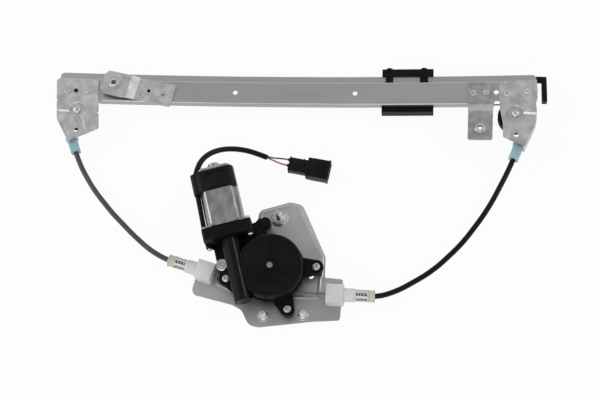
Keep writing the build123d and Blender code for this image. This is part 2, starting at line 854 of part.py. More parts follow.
# Drum housing: a shallow cup under the gear housing, slotted where the cables run in
cup_r = 24.5
cup_wall = 1.6
cup_floor_t = 1.6
cup_gap = 0.4
cup_top = lid_z - cup_gap
cup_boss_r = 6.5
with BuildPart() as drum_housing:
    with BuildSketch(unit.offset(pad_top)):
        Circle(cup_r)
    extrude(amount=cup_top - pad_top)
    with BuildSketch(unit.offset(pad_top + cup_floor_t)):
        Circle(cup_r - cup_wall)
    extrude(amount=cup_top - pad_top, mode=Mode.SUBTRACT)
    with BuildSketch(unit):
        Circle(axle_r)
    extrude(amount=cup_top, mode=Mode.SUBTRACT)
    for side in feed_sign:
        with BuildSketch(feed_plane(side, 0)):
            Rectangle(2 * (cable_r + 0.6), 2 * (cable_r + 1.2))
        extrude(amount=2 * cup_r, mode=Mode.SUBTRACT)
keep(drum_housing, "drum_housing")

# Cable drum: four grooves, the cables wound on its outer two, fed from its inner two
drum_h = 2 * drum_flange + groove_count * groove_pitch
drum_groove_r = cable_r + cable_gap
drum_land_r = drum_pitch_r + 0.4
hub_r = 9.0
hub_spline_r = 8.0
spline_teeth = 8
spline_w = 2.4
spline_h = 1.0
drum_mid = Plane(origin=(drum_x, drum_y, drum_floor_z), x_dir=(1, 0, 0), z_dir=(0, -1, 0))
groove_rows = [drum_flange + groove_pitch * (row + 0.5) for row in range(groove_count)]
with BuildPart() as cable_drum:
    with BuildSketch(drum_mid):
        with BuildLine():
            Polyline(
                (0, 0),
                (drum_edge_r, 0),
                (drum_edge_r, drum_flange * 0.6),
                (drum_land_r, drum_flange),
                (drum_land_r, drum_h - drum_flange),
                (drum_edge_r, drum_h - drum_flange * 0.6),
                (drum_edge_r, drum_h),
                (0, drum_h),
                close=True,
            )
        make_face()
        with Locations(*[(drum_pitch_r, row) for row in groove_rows]):
            Circle(drum_groove_r, mode=Mode.SUBTRACT)
            with Locations((drum_groove_r, 0)):
                Rectangle(2 * drum_groove_r, 2 * drum_groove_r, mode=Mode.SUBTRACT)
    revolve(axis=Axis(unit.origin, (0, 0, 1)))
    with BuildSketch(unit.offset(drum_floor_z)):
        Circle(axle_r + run_gap)
    extrude(amount=drum_h, mode=Mode.SUBTRACT)
    with BuildSketch(unit.offset(drum_floor_z + drum_flange)):
        Circle(hub_spline_r - spline_h)
        with PolarLocations(hub_spline_r - spline_h, spline_teeth):
            Rectangle(2 * spline_h, spline_w)
    extrude(amount=drum_h, mode=Mode.SUBTRACT)
keep(cable_drum, "cable_drum")

with BuildPart() as cable_wraps:
    with BuildSketch(drum_mid):
        with Locations((drum_pitch_r, groove_rows[0]), (drum_pitch_r, groove_rows[-1])):
            Circle(cable_r + cable_gap)
    revolve(axis=Axis(unit.origin, (0, 0, 1)))
keep(cable_wraps, "cable_wraps")

# Worm wheel: moulded, its teeth leaning along the worm's thread, with a pocket for the damper
wheel_low_z = gear_mid_z - wheel_w / 2
hub_top_z = gear_mid_z + wheel_w / 2
tooth_tip_r = wheel_r + tooth_add
tooth_root_r = wheel_r - tooth_ded
wheel_bore_r = axle_r + run_gap
pocket_in_r = 9.5
pocket_out_r = 20.0
pocket_depth = 4.5
pocket_floor_z = wheel_low_z + pocket_depth
lug_count = 3
pocket_lug_w = 4.0
tooth_turn = atan2(module_lead, 2 * pi * worm_r)
tooth_h = tooth_tip_r - tooth_root_r
tooth_low_half = tooth_w / 2 + tooth_ded * flank_slope
tooth_high_half = tooth_w / 2 - tooth_add * flank_slope
tooth_flat = Plane(
    origin=(tooth_root_r, 0, 0), x_dir=(1, 0, 0), z_dir=(0, sin(tooth_turn), cos(tooth_turn))
)
with BuildPart() as wheel_tooth:
    with BuildSketch(tooth_flat.offset(-wheel_w / 2)):
        with BuildLine():
            Polyline(
                (-0.3, -tooth_low_half),
                (0, -tooth_low_half),
                (tooth_h, -tooth_high_half),
                (tooth_h, tooth_high_half),
                (0, tooth_low_half),
                (-0.3, tooth_low_half),
                close=True,
            )
        make_face()
    extrude(amount=wheel_w)

with BuildPart() as worm_wheel:
    with BuildSketch(unit.offset(wheel_low_z)):
        Circle(tooth_root_r)
    extrude(amount=wheel_w)
    with Locations(unit.offset(gear_mid_z)):
        with PolarLocations(0, wheel_teeth, start_angle=180 + motor_turn + 180 / wheel_teeth):
            add(wheel_tooth.part)
    with BuildSketch(unit):
        Circle(wheel_bore_r)
    extrude(amount=case_top_z, mode=Mode.SUBTRACT)
    with BuildSketch(unit.offset(wheel_low_z)):
        Circle(pocket_out_r)
        Circle(pocket_in_r, mode=Mode.SUBTRACT)
        with PolarLocations((pocket_in_r + pocket_out_r) / 2, lug_count):
            Rectangle(pocket_out_r - pocket_in_r + 4, pocket_lug_w, mode=Mode.SUBTRACT)
    extrude(amount=pocket_floor_z - wheel_low_z, mode=Mode.SUBTRACT)
keep(worm_wheel, "worm_wheel")

# Drive hub: splined into the drum, its disc turned by the wheel through the rubber damper
hub_disc_r = 19.6
hub_disc_low_z = lid_z + lid_t + 0.6
hub_disc_t = 2.4
hub_finger_h = 3.5
finger_w = 3.6
finger_len = pocket_out_r - pocket_in_r - 1.2
pocket_mid_r = (pocket_in_r + pocket_out_r) / 2
with BuildPart() as drive_hub:
    with BuildSketch(unit.offset(drum_floor_z + drum_flange)):
        Circle(hub_spline_r - spline_h - run_gap)
        with PolarLocations(hub_spline_r - spline_h, spline_teeth):
            Rectangle(2 * (spline_h - run_gap), spline_w - 2 * run_gap)
    extrude(amount=hub_disc_low_z - drum_floor_z - drum_flange)
    with BuildSketch(unit.offset(hub_disc_low_z)):
        Circle(hub_disc_r)
    extrude(amount=hub_disc_t)
    with BuildSketch(unit.offset(hub_disc_low_z + hub_disc_t)):
        with PolarLocations(pocket_mid_r, lug_count, start_angle=60):
            Rectangle(finger_len, finger_w)
    extrude(amount=hub_finger_h)
    with BuildSketch(unit.offset(drum_floor_z)):
        Circle(axle_r + run_gap)
    extrude(amount=hub_disc_low_z, mode=Mode.SUBTRACT)
keep(drive_hub, "drive_hub")

# Damper: a rubber ring filling the pocket round the wheel's lugs and the hub's fingers
with BuildPart() as damper:
    with BuildSketch(unit.offset(hub_disc_low_z + hub_disc_t)):
        Circle(pocket_out_r - run_gap)
        Circle(pocket_in_r + run_gap, mode=Mode.SUBTRACT)
        with PolarLocations(pocket_mid_r, lug_count):
            Rectangle(finger_len + 6, pocket_lug_w + 2 * run_gap, mode=Mode.SUBTRACT)
        with PolarLocations(pocket_mid_r, lug_count, start_angle=60):
            Rectangle(finger_len, finger_w, mode=Mode.SUBTRACT)
    extrude(amount=pocket_floor_z - hub_disc_low_z - hub_disc_t - run_gap)
keep(damper, "damper")

# Line of the motor lead: from inside the neck to where it leaves the cover at the can's end
lead_r = 2.4
lead_from = across_motor(46).from_local_coords(Vector(22.4, 0, 0))
lead_to = across_motor(107.5).from_local_coords(Vector(20.4, 8.5, 0))
lead_len = (lead_to - lead_from).length
lead_hole_len = 10.0
sleeve_grip = 5.0
sleeve_out_r = 2.75
sleeve_in_r = 1.9


def lead_plane(along):
    run = (lead_to - lead_from).normalized()
    return Plane(origin=lead_from + run * along, z_dir=run)


# Gear housing: one black moulding, the wheel chamber, the worm tunnel, the motor's neck and feet
case_roof = 2.0
case_round = 2.4
rib_w = 0.8
rib_h = 0.35
rib_len = 24.7
rib_count = 12
axle_boss_r = 5.0
foot_sink = 4.0
neck_bore_r = 11.5
neck_floor_t = 2.0
can_screw_spots = [(-21, 8), (21.4, -7.6)]
can_screw_r = 1.8
can_screw_bite = 8.0
wing_outline = [
    (-67.1, 22.7), (-57.5, 19.4), (-54.8, 9.8), (-48.9, -9.2), (-41.9, -19), (-29.6, -29.1),
    (-17.9, -30.6), (-17.9, 30), (-40, 34), (-62, 29),
]
wing_low_z = 13.0
wing_top_z = 16.5
vent_at = (-8.3, 46.3)
vent_r = 5.5
vent_top_z = 24.0
shoulder_outline = [(-25, 43.5), (-18, 46.5), (-13.3, 52), (-6, 40), (-6, 25), (-26, 25)]
shoulder_low_z = 15.0
shoulder_top_z = 22.0
with BuildPart() as gear_housing:
    with BuildSketch(unit.offset(case_skirt_z)):
        Circle(case_ring_r)
    extrude(amount=case_ring_z - case_skirt_z)
    with BuildSketch(unit.offset(case_ring_z)):
        Circle(case_r)
    cup = extrude(amount=case_top_z - case_ring_z)
    fillet(cup.edges().filter_by(GeomType.CIRCLE).sort_by(Axis.Z)[-1], case_round)
    with BuildSketch(unit.offset(case_top_z)):
        with PolarLocations(case_r / 2, rib_count):
            Rectangle(rib_len, rib_w)
        Circle(axle_boss_r)
    extrude(amount=rib_h)
    with BuildSketch(across_motor(tunnel_end)):
        Circle(tunnel_r)
    extrude(amount=neck_start - tunnel_end + 1)
    with BuildSketch(across_motor(neck_start)):
        with Locations((0, -neck_drop)):
            RectangleRounded(neck_w, neck_h, neck_round)
    extrude(amount=neck_end - neck_start)
    with BuildSketch(unit.offset(wing_low_z)):
        with BuildLine():
            FilletPolyline(*wing_outline, radius=2, close=True)
        make_face()
        with BuildLine():
            FilletPolyline(*shoulder_outline, radius=2, close=True)
        make_face()
        Circle(case_ring_r - 1, mode=Mode.SUBTRACT)
    extrude(amount=wing_top_z - wing_low_z)
    with BuildSketch(unit.offset(shoulder_low_z)):
        with BuildLine():
            FilletPolyline(*shoulder_outline, radius=2, close=True)
        make_face()
    extrude(amount=shoulder_top_z - shoulder_low_z)
    with BuildSketch(unit.offset(wing_low_z)):
        with Locations(vent_at):
            Circle(vent_r)
    post = extrude(amount=vent_top_z - wing_low_z)
    fillet(post.edges().filter_by(GeomType.CIRCLE).sort_by(Axis.Z)[-1], 1.4)
    for spot in foot_spots:
        reach = Vector(*spot)
        step = Vector(-reach.Y, reach.X).normalized() * lug_r
        inner = reach.normalized() * (case_r - foot_sink)
        root = step * 1.6
        with BuildSketch(unit.offset(lug_top_z - lug_t)):
            with BuildLine():
                Polyline(
                    *[(v.X, v.Y) for v in (reach + step, inner + root, inner - root, reach - step)],
                    close=True,
                )
            make_face()
            with Locations(spot):
                Circle(lug_r)
            Circle(case_r - foot_sink, mode=Mode.SUBTRACT)
        extrude(amount=lug_t)
        floor_z = plate_t if spot[1] < -case_r else pad_top
        with BuildSketch(unit.offset(floor_z)):
            with Locations(spot):
                Circle(lug_r - 1)
        extrude(amount=lug_top_z - floor_z)
    with BuildSketch(unit.offset(case_skirt_z - 5)):
        Circle(lid_r)
    extrude(amount=lid_z + lid_t - case_skirt_z + 5, mode=Mode.SUBTRACT)
    with BuildSketch(unit.offset(lid_z)):
        Circle(chamber_r)
    extrude(amount=case_top_z - case_roof - lid_z, mode=Mode.SUBTRACT)
    with BuildSketch(across_motor(tunnel_end + case_wall)):
        Circle(tunnel_bore_r)
    extrude(amount=neck_end - tunnel_end, mode=Mode.SUBTRACT)
    with BuildSketch(across_motor(neck_start + neck_floor_t)):
        Circle(neck_bore_r)
    extrude(amount=neck_end - neck_start, mode=Mode.SUBTRACT)
    with BuildSketch(unit):
        Circle(axle_r)
        with Locations(*foot_spots[:2]):
            Circle(screw_r)
        with Locations(dowel_at):
            Circle(dowel_r)
    extrude(amount=2 * case_top_z, mode=Mode.SUBTRACT)
    with BuildSketch(unit.offset(lug_top_z - blind_bite)):
        with Locations(foot_spots[2]):
            Circle(screw_r)
    extrude(amount=2 * lug_r, mode=Mode.SUBTRACT)
    with BuildSketch(across_motor(neck_end)):
        with Locations(*can_screw_spots):
            Circle(can_screw_r)
    extrude(amount=-can_screw_bite, mode=Mode.SUBTRACT)
    for side in feed_sign:
        with BuildSketch(feed_plane(side, 0)):
            Rectangle(2 * (cable_r + 0.4), 2 * (cable_r + 0.9))
        extrude(amount=block_start, mode=Mode.SUBTRACT)
    with BuildSketch(lead_plane(0)):
        Circle(lead_r)
    extrude(amount=lead_hole_len, mode=Mode.SUBTRACT)
keep(gear_housing, "gear_housing")

# Lid under the wheel, with a lip seal on the hub
seal_h = 1.2
lid_hole_r = hub_spline_r + 0.6
seal_seat_r = lid_hole_r + 2.5
with BuildPart() as gear_case_lid:
    with BuildSketch(unit.offset(lid_z)):
        Circle(lid_r)
        Circle(lid_hole_r, mode=Mode.SUBTRACT)
    extrude(amount=lid_t)
    with BuildSketch(unit.offset(lid_z)):
        Circle(seal_seat_r)
    extrude(amount=seal_h, mode=Mode.SUBTRACT)
keep(gear_case_lid, "gear_case_lid")

with BuildPart() as lid_seal:
    with BuildSketch(unit.offset(lid_z)):
        Circle(seal_seat_r)
        Circle(hub_spline_r + run_gap, mode=Mode.SUBTRACT)
    extrude(amount=seal_h)
keep(lid_seal, "lid_seal")

# Axle pin: a plain steel pin through the plate, the drum, the hub, the wheel and the housing
axle_head_r = 4.4
axle_head_h = 0.9
with BuildPart() as axle_pin:
    with BuildSketch(unit.offset(pad_top - plate_t)):
        Circle(axle_r)
    extrude(amount=case_top_z + 0.6 - pad_top + plate_t)
    chamfer(axle_pin.edges().filter_by(GeomType.CIRCLE).sort_by(Axis.Z)[-1], 0.5)
    with BuildSketch(unit.offset(pad_top - plate_t)):
        Circle(axle_head_r)
    extrude(amount=-axle_head_h)
keep(axle_pin, "axle_pin")

# Housing screws, and the dome-headed locating rivet beside the left one
screw_ends = [pad_top - 3, plate_t - 0.8, lug_top_z - blind_bite]
recess_r = 1.7
recess_depth = 1.3
with BuildPart() as housing_screws:
    with BuildSketch(unit.offset(lug_top_z)):
        with Locations(*foot_spots):
            Circle(screw_head_r)
    heads = extrude(amount=screw_head_h)
    fillet(heads.edges().filter_by(GeomType.CIRCLE).group_by(Axis.Z)[-1], 0.8)
    for spot, end_z in zip(foot_spots, screw_ends):
        with BuildSketch(unit.offset(lug_top_z)):
            with Locations(spot):
                Circle(screw_r)
        extrude(amount=end_z - lug_top_z)
    with BuildSketch(unit.offset(lug_top_z + screw_head_h)):
        with Locations(*foot_spots):
            RegularPolygon(recess_r, 6)
    extrude(amount=-recess_depth, mode=Mode.SUBTRACT)
keep(housing_screws, "housing_screws")

dome_r = 6.0
dome_h = 3.0
with BuildPart() as locating_rivet:
    with BuildSketch(unit.offset(wing_top_z)):
        with Locations(dowel_at):
            Circle(dome_r)
    dome = extrude(amount=dome_h)
    fillet(dome.edges().filter_by(GeomType.CIRCLE).sort_by(Axis.Z)[-1], dome_h * 0.6)
    with BuildSketch(unit.offset(wing_top_z)):
        with Locations(dowel_at):
            Circle(dowel_r)
    extrude(amount=pad_top - wing_top_z)
    with BuildSketch(unit.offset(wing_low_z)):
        with Locations(dowel_at):
            Circle(dome_r)
    extrude(amount=pad_top - wing_low_z)
keep(locating_rivet, "locating_rivet")

# Armature: steel shaft with the worm rolled into it
worm_root_r = worm_r - tooth_ded
worm_tip_r = worm_r + tooth_add
worm_turns = 7
shaft_start = -25.0
shaft_end = 116.0
thread_root_half = thread_w / 2 + tooth_ded * flank_slope
thread_tip_half = thread_w / 2 - tooth_add * flank_slope
thread_sink = 0.3
worm_start = across_motor(-worm_turns * module_lead / 2)
worm_foot_plane = Plane(
    origin=worm_start.origin + worm_start.x_dir * worm_root_r,
    x_dir=worm_start.x_dir,
    z_dir=worm_start.y_dir,
)
thread_path = worm_start * Helix(
    pitch=module_lead, height=worm_turns * module_lead, radius=worm_r
)
with BuildPart() as armature_shaft:
    with BuildSketch(across_motor(shaft_start)):
        Circle(shaft_r)
    extrude(amount=shaft_end - shaft_start)
    with BuildSketch(across_motor(-worm_turns * module_lead / 2 - module_lead / 2)):
        Circle(worm_root_r)
    extrude(amount=(worm_turns + 1) * module_lead)
    with BuildSketch(worm_foot_plane):
        with BuildLine():
            Polyline(
                (-thread_sink, -thread_root_half),
                (0, -thread_root_half),
                (worm_tip_r - worm_root_r, -thread_tip_half),
                (worm_tip_r - worm_root_r, thread_tip_half),
                (0, thread_root_half),
                (-thread_sink, thread_root_half),
                close=True,
            )
        make_face()
    sweep(path=thread_path, is_frenet=True)
keep(armature_shaft, "armature_shaft")

# Laminated core, windings and commutator on the shaft
core_slots = 10
slot_depth = 6.0
winding_r = 10.0
winding_len = 5.0
commutator_r = 6.0
commutator_start = 51.0
commutator_len = 7.0
bar_count = 10
bar_gap = 0.5
with BuildPart() as armature_core:
    with BuildSketch(across_motor(core_start)):
        Circle(core_r)
        Circle(shaft_r, mode=Mode.SUBTRACT)
        with PolarLocations(core_r, core_slots):
            Rectangle(2 * slot_depth, 1.6, mode=Mode.SUBTRACT)
    extrude(amount=core_len)
keep(armature_core, "armature_core")

with BuildPart() as armature_windings:
    for start in (core_start - winding_len, core_start + core_len):
        with BuildSketch(across_motor(start)):
            Circle(winding_r)
            Circle(shaft_r, mode=Mode.SUBTRACT)
        coils = extrude(amount=winding_len)
        rims = coils.edges().filter_by(GeomType.CIRCLE)
        chamfer([e for e in rims if e.radius > shaft_r + 1], 1.2)
keep(armature_windings, "armature_windings")

with BuildPart() as commutator:
    with BuildSketch(across_motor(commutator_start)):
        Circle(commutator_r)
        with PolarLocations(commutator_r, bar_count):
            Rectangle(1.6, bar_gap, mode=Mode.SUBTRACT)
        Circle(shaft_r, mode=Mode.SUBTRACT)
    extrude(amount=commutator_len)
keep(commutator, "commutator")

# Plain bushes that carry the shaft: two in the worm tunnel, one in the can's boss
bush_wall_r = 4.6
bush_spans = [(-22.5, 6.0, tunnel_bore_r), (30.5, 6.0, tunnel_bore_r), (112.0, 4.0, bush_wall_r)]
with BuildPart() as armature_bushes:
    for start, length, outer_r in bush_spans:
        with BuildSketch(across_motor(start)):
            Circle(outer_r)
            Circle(shaft_r + run_gap, mode=Mode.SUBTRACT)
        extrude(amount=length)
keep(armature_bushes, "armature_bushes")

# Motor can: deep-drawn, flat top and bottom, with the rear bush's boss and a flange on the neck
can_in_r = can_r - can_wall
can_in_flat = can_flat - can_wall
can_round = 2.5
can_corner_r = 1.6              # inside the can
flange_t = 1.5
flange_w_motor = 47.0
flange_h_motor = 24.0


def can_profile(radius, half_height):
    """Round profile, flat at top and bottom, drawn first in its sketch."""
    Circle(radius)
    Rectangle(2 * radius, 2 * half_height, mode=Mode.INTERSECT)
    fillet(vertices(), can_corner_r + radius - can_in_r)


with BuildPart() as motor_can:
    with BuildSketch(across_motor(neck_end)):
        can_profile(can_r, can_flat)
    shell = extrude(amount=can_end - neck_end)
    fillet(shell.faces().sort_by(Axis(worm_foot, motor_dir))[-1].edges(), can_round)
    with BuildSketch(across_motor(can_end)):
        Circle(boss_r)
    boss = extrude(amount=boss_len)
    fillet(boss.edges().sort_by(Axis(worm_foot, motor_dir))[-1], 1.5)
    with BuildSketch(across_motor(neck_end)):
        RectangleRounded(flange_w_motor, flange_h_motor, neck_round)
    extrude(amount=flange_t)
    with BuildSketch(across_motor(neck_end)):
        can_profile(can_in_r, can_in_flat)
    extrude(amount=can_end - can_wall - neck_end, mode=Mode.SUBTRACT)
    with BuildSketch(across_motor(neck_end)):
        Circle(bush_wall_r)
    extrude(amount=can_end + boss_len - can_wall - neck_end, mode=Mode.SUBTRACT)
    with BuildSketch(across_motor(neck_end)):
        with Locations(*can_screw_spots):
            Circle(can_screw_r)
    extrude(amount=flange_t, mode=Mode.SUBTRACT)
    with BuildSketch(lead_plane(0)):
        Circle(lead_r)
    extrude(amount=lead_hole_len, mode=Mode.SUBTRACT)
keep(motor_can, "motor_can")

can_screw_head_r = 3.0
with BuildPart() as can_screws:
    with BuildSketch(across_motor(neck_end + flange_t)):
        with Locations(*can_screw_spots):
            Circle(can_screw_head_r)
    heads = extrude(amount=1.8)
    with BuildSketch(across_motor(neck_end + flange_t)):
        with Locations(*can_screw_spots):
            Circle(can_screw_r)
    extrude(amount=-flange_t - can_screw_bite)
keep(can_screws, "can_screws")

# Field magnets: two arcs held against the can's round sides
magnet_in_r = 12.4
magnet_half_turn = 43
magnet_start = 61.0
magnet_len = 36.0
magnet_reach = 2 * can_in_r
magnet_spread = magnet_reach * tan(radians(magnet_half_turn))
with BuildPart() as field_magnets:
    for sign in (-1, 1):
        with BuildSketch(across_motor(magnet_start)):
            Circle(can_in_r)
            Circle(magnet_in_r, mode=Mode.SUBTRACT)
            with BuildLine():
                Polyline(
                    (0, 0),
                    (sign * magnet_reach, sign * magnet_spread),
                    (sign * magnet_reach, -sign * magnet_spread),
                    close=True,
                )
            make_face(mode=Mode.INTERSECT)
        extrude(amount=magnet_len)
keep(field_magnets, "field_magnets")

# Brush holder in the can's mouth, with two carbon brushes on the commutator
holder_t = 1.5
holder_bore_r = 7.0
brush_start = 52.0
brush_len = 5.0
brush_half_w = 2.2
brush_reach = 13.0
box_wall = 0.9
with BuildPart() as brush_holder:
    with BuildSketch(across_motor(neck_end)):
        can_profile(can_in_r, can_in_flat)
        Circle(holder_bore_r, mode=Mode.SUBTRACT)
    extrude(amount=holder_t)
    with BuildSketch(across_motor(neck_end + holder_t)):
        for sign in (-1, 1):
            with Locations((sign * (holder_bore_r + brush_reach + 1) / 2, 0)):
                Rectangle(brush_reach + 1 - holder_bore_r, 2 * (brush_half_w + box_wall))
    extrude(amount=brush_len + 2)
    with BuildSketch(across_motor(brush_start)):
        Rectangle(2 * brush_reach, 2 * brush_half_w)
    extrude(amount=brush_len, mode=Mode.SUBTRACT)
keep(brush_holder, "brush_holder")

with BuildPart() as brushes:
    with BuildSketch(across_motor(brush_start)):
        Rectangle(2 * brush_reach, 2 * brush_half_w)
        Circle(commutator_r + run_gap, mode=Mode.SUBTRACT)
    extrude(amount=brush_len)
keep(brushes, "brushes")

# Motor lead: a sleeved pair from the neck, along the can's shoulder, under a black cover
lead_cover_start = 86.0
lead_cover_len = 21.5
cover_t = 1.4
cover_right = 12.5
cover_bump_r = 4.6
cover_bump_at = (20.3, 6.9)
with BuildPart() as motor_lead:
    with BuildSketch(lead_plane(0)):
        Circle(lead_r)
    extrude(amount=lead_len - sleeve_grip)
keep(motor_lead, "motor_lead")

with BuildPart() as lead_cover:
    with BuildSketch(across_motor(lead_cover_start)):
        can_profile(can_r + cover_t, can_flat + cover_t)
        with Locations(cover_bump_at):
            Circle(cover_bump_r)
        with Locations((-can_r - cover_right, 0)):
            Rectangle(2 * can_r, 3 * can_r, mode=Mode.SUBTRACT)
        with Locations((0, -can_r - 2)):
            Rectangle(3 * can_r, 2 * can_r - can_flat, mode=Mode.SUBTRACT)
    extrude(amount=lead_cover_len)
    with BuildSketch(across_motor(lead_cover_start)):
        can_profile(can_r, can_flat)
    extrude(amount=lead_cover_len, mode=Mode.SUBTRACT)
    with BuildSketch(lead_plane(0)):
        Circle(lead_r)
    extrude(amount=lead_len, mode=Mode.SUBTRACT)
    with BuildSketch(lead_plane(lead_len - sleeve_grip)):
        Circle(sleeve_out_r)
    extrude(amount=2 * sleeve_grip, mode=Mode.SUBTRACT)
keep(lead_cover, "lead_cover")

# Slider carrier: black moulding on the rail, its guide faces curved with the rail
carrier_half = 26.0
carrier_back = -14.6
carrier_low = -18.6
carrier_top = 28.8
hook_front = -3.9
hook_low_y = 14.6
hook_spans = [(-22.4, -14.9), (12.3, 20.5)]
shoe_len = 14.0
shoe_t = 4.0
shoe_front = -rail_sheet - rivet_head_h - slide_gap
skirt_front = -5.0
nipple_r = 1.6
nipple_len = 5.0
nipple_spot = 12.0
insert_spots = [(-16, 4), (16, 4)]
insert_r = 5.0
insert_len = 4.5
insert_bore_r = 2.5
wall_in = half_web - rail_sheet
flange_front = rail_sheet - wall_h
cable_offset = pulley_pitch_r - pulley_drop
channel_half = 1.65


def curved_block(y_span, z_span, x_span, mode=Mode.ADD):
    """Block across the rail (Y from the rail's middle, height over the web), run along the bow."""
    with BuildSketch(section(x_span[0])) as profile:
        with Locations(((y_span[0] + y_span[1]) / 2, (z_span[0] + z_span[1]) / 2)):
            Rectangle(y_span[1] - y_span[0], z_span[1] - z_span[0])
    revolve(profile.sketch, axis=bow_axis, revolution_arc=bow_angle(*x_span), mode=mode)


carrier_span = (carrier_x - carrier_half, carrier_x + carrier_half)
back_front = -wall_h - slide_gap
with BuildPart() as slider_carrier:
    curved_block((carrier_low, carrier_top), (carrier_back, back_front), carrier_span)
    curved_block((carrier_low, -half_web - slide_gap), (carrier_back, skirt_front), carrier_span)
    curved_block((flange_top + slide_gap, carrier_top), (carrier_back, hook_front), carrier_span)
    for low, high in hook_spans:
        curved_block(
            (hook_low_y, carrier_top),
            (flange_front + slide_gap, hook_front),
            (carrier_x + low, carrier_x + high),
        )
    for low in (carrier_span[0], carrier_span[1] - shoe_len):
        curved_block(
            (wall_in - slide_gap - shoe_t, wall_in - slide_gap),
            (carrier_back, shoe_front),
            (low, low + shoe_len),
        )
    curved_block(
        (cable_offset - cable_gap - cable_r, cable_offset + cable_gap + cable_r),
        (cable_z - cable_gap - cable_r, back_front + 1),
        carrier_span,
        Mode.SUBTRACT,
    )
    curved_block(
        (cable_offset - channel_half, cable_offset + channel_half),
        (cable_z - channel_half, back_front + 1),
        (carrier_x - nipple_spot - nipple_len, carrier_x + nipple_spot + nipple_len),
        Mode.SUBTRACT,
    )
    with BuildSketch(station(carrier_x).offset(carrier_back)):
        with Locations(*insert_spots):
            Circle(insert_r)
    extrude(amount=insert_len, mode=Mode.SUBTRACT)
keep(slider_carrier, "slider_carrier")

# Cable nipples: crimped sleeves that seat in the carrier's pocket, one for each cable
nipple_bore_r = cable_r + cable_gap
with BuildPart() as cable_nipples:
    for low in (carrier_x - nipple_spot - nipple_len, carrier_x + nipple_spot):
        with BuildSketch(section(low)):
            with Locations((cable_offset, cable_z)):
                Circle(nipple_r)
                Circle(nipple_bore_r, mode=Mode.SUBTRACT)
        revolve(axis=bow_axis, revolution_arc=bow_angle(low, low + nipple_len))
keep(cable_nipples, "cable_nipples")

# Glass fixings: two threaded brass inserts in the carrier's back
with BuildPart() as glass_inserts:
    with BuildSketch(station(carrier_x).offset(carrier_back)):
        with Locations(*insert_spots):
            Circle(insert_r)
            Circle(insert_bore_r, mode=Mode.SUBTRACT)
    extrude(amount=insert_len)
keep(glass_inserts, "glass_inserts")

# End bumper: black moulding pushed on the rail's right end
bumper_foot_x = (225.0, 246.0)
bumper_foot_y = (13.4, 20.0)
bumper_foot_z = (-wall_h - 2.3, -wall_h - run_gap)
bumper_arm_x = (241.6, 249.0)
bumper_post_x = (246.0, 249.0)
bumper_top_y = (14.6, 17.6)
bumper_post_y = (-8.4, 17.6)
bumper_z = (-12.0, -4.6)
with BuildPart() as end_bumper:
    curved_block(bumper_foot_y, bumper_foot_z, bumper_foot_x)
    curved_block(bumper_top_y, bumper_z, bumper_arm_x)
    curved_block(bumper_post_y, bumper_z, bumper_post_x)
keep(end_bumper, "end_bumper")

# Harness: a sleeve over two wires, free from the motor's cover to a two-pole plug on the floor
wire_r = 0.8
wire_step = 1.04
sleeve_route = [
    lead_plane(lead_len - sleeve_grip).origin,
    lead_plane(lead_len + 9.5).origin,
    Vector(-91.5, 28.0, 33.0),
    Vector(-83.0, 38.0, 24.5),
    Vector(-71.5, 44.0, 14.5),
    Vector(-57.5, 46.0, 6.0),
    Vector(-43.0, 44.0, sleeve_out_r),
    Vector(-29.2, 40.0, sleeve_out_r),
]
wire_straight = Vector(-23.4, 38.4, sleeve_out_r)
plug_frame = Plane(Location((-4.2, 30.6, 0), (0, 0, -10)))
wire_spots = {"supply": (4.5, 9), "ground": (-1.8, 9)}
wire_steps = {"supply": wire_step, "ground": -wire_step}
wire_lead_in = 8.0
wire_entry = 4.0


def cord(points, outer_r, inner_r=0.0):
    """Tube along straight runs joined by tangent arcs."""
    with BuildPart() as piece:
        with BuildLine() as line:
            FilletPolyline(*points, radius=corner_radii(points))
        path = line.wire()
        with BuildSketch(Plane(origin=path @ 0, z_dir=path % 0)):
            Circle(outer_r)
            if inner_r:
                Circle(inner_r, mode=Mode.SUBTRACT)
        sweep(path=path)
    area = pi * (outer_r ** 2 - inner_r ** 2)
    print("cord radii", [round(r, 1) for r in corner_radii(points)], "length",
          round(path.length, 1), "ratio", round(piece.part.volume / (area * path.length), 4))
    return piece


keep(cord(sleeve_route, sleeve_out_r, sleeve_in_r), "harness_sleeve")
for name, (aside, up) in wire_spots.items():
    step = Vector(0, 0, wire_steps[name])
    start = lead_plane(lead_len - sleeve_grip + 0.5).origin
    points = [spot + step for spot in [start] + sleeve_route[1:-1] + [wire_straight]]
    points += [plug_frame.from_local_coords(Vector(x, aside, up)) for x in (-wire_lead_in, wire_entry)]
    keep(cord(points, wire_r), f"{name}_wire")

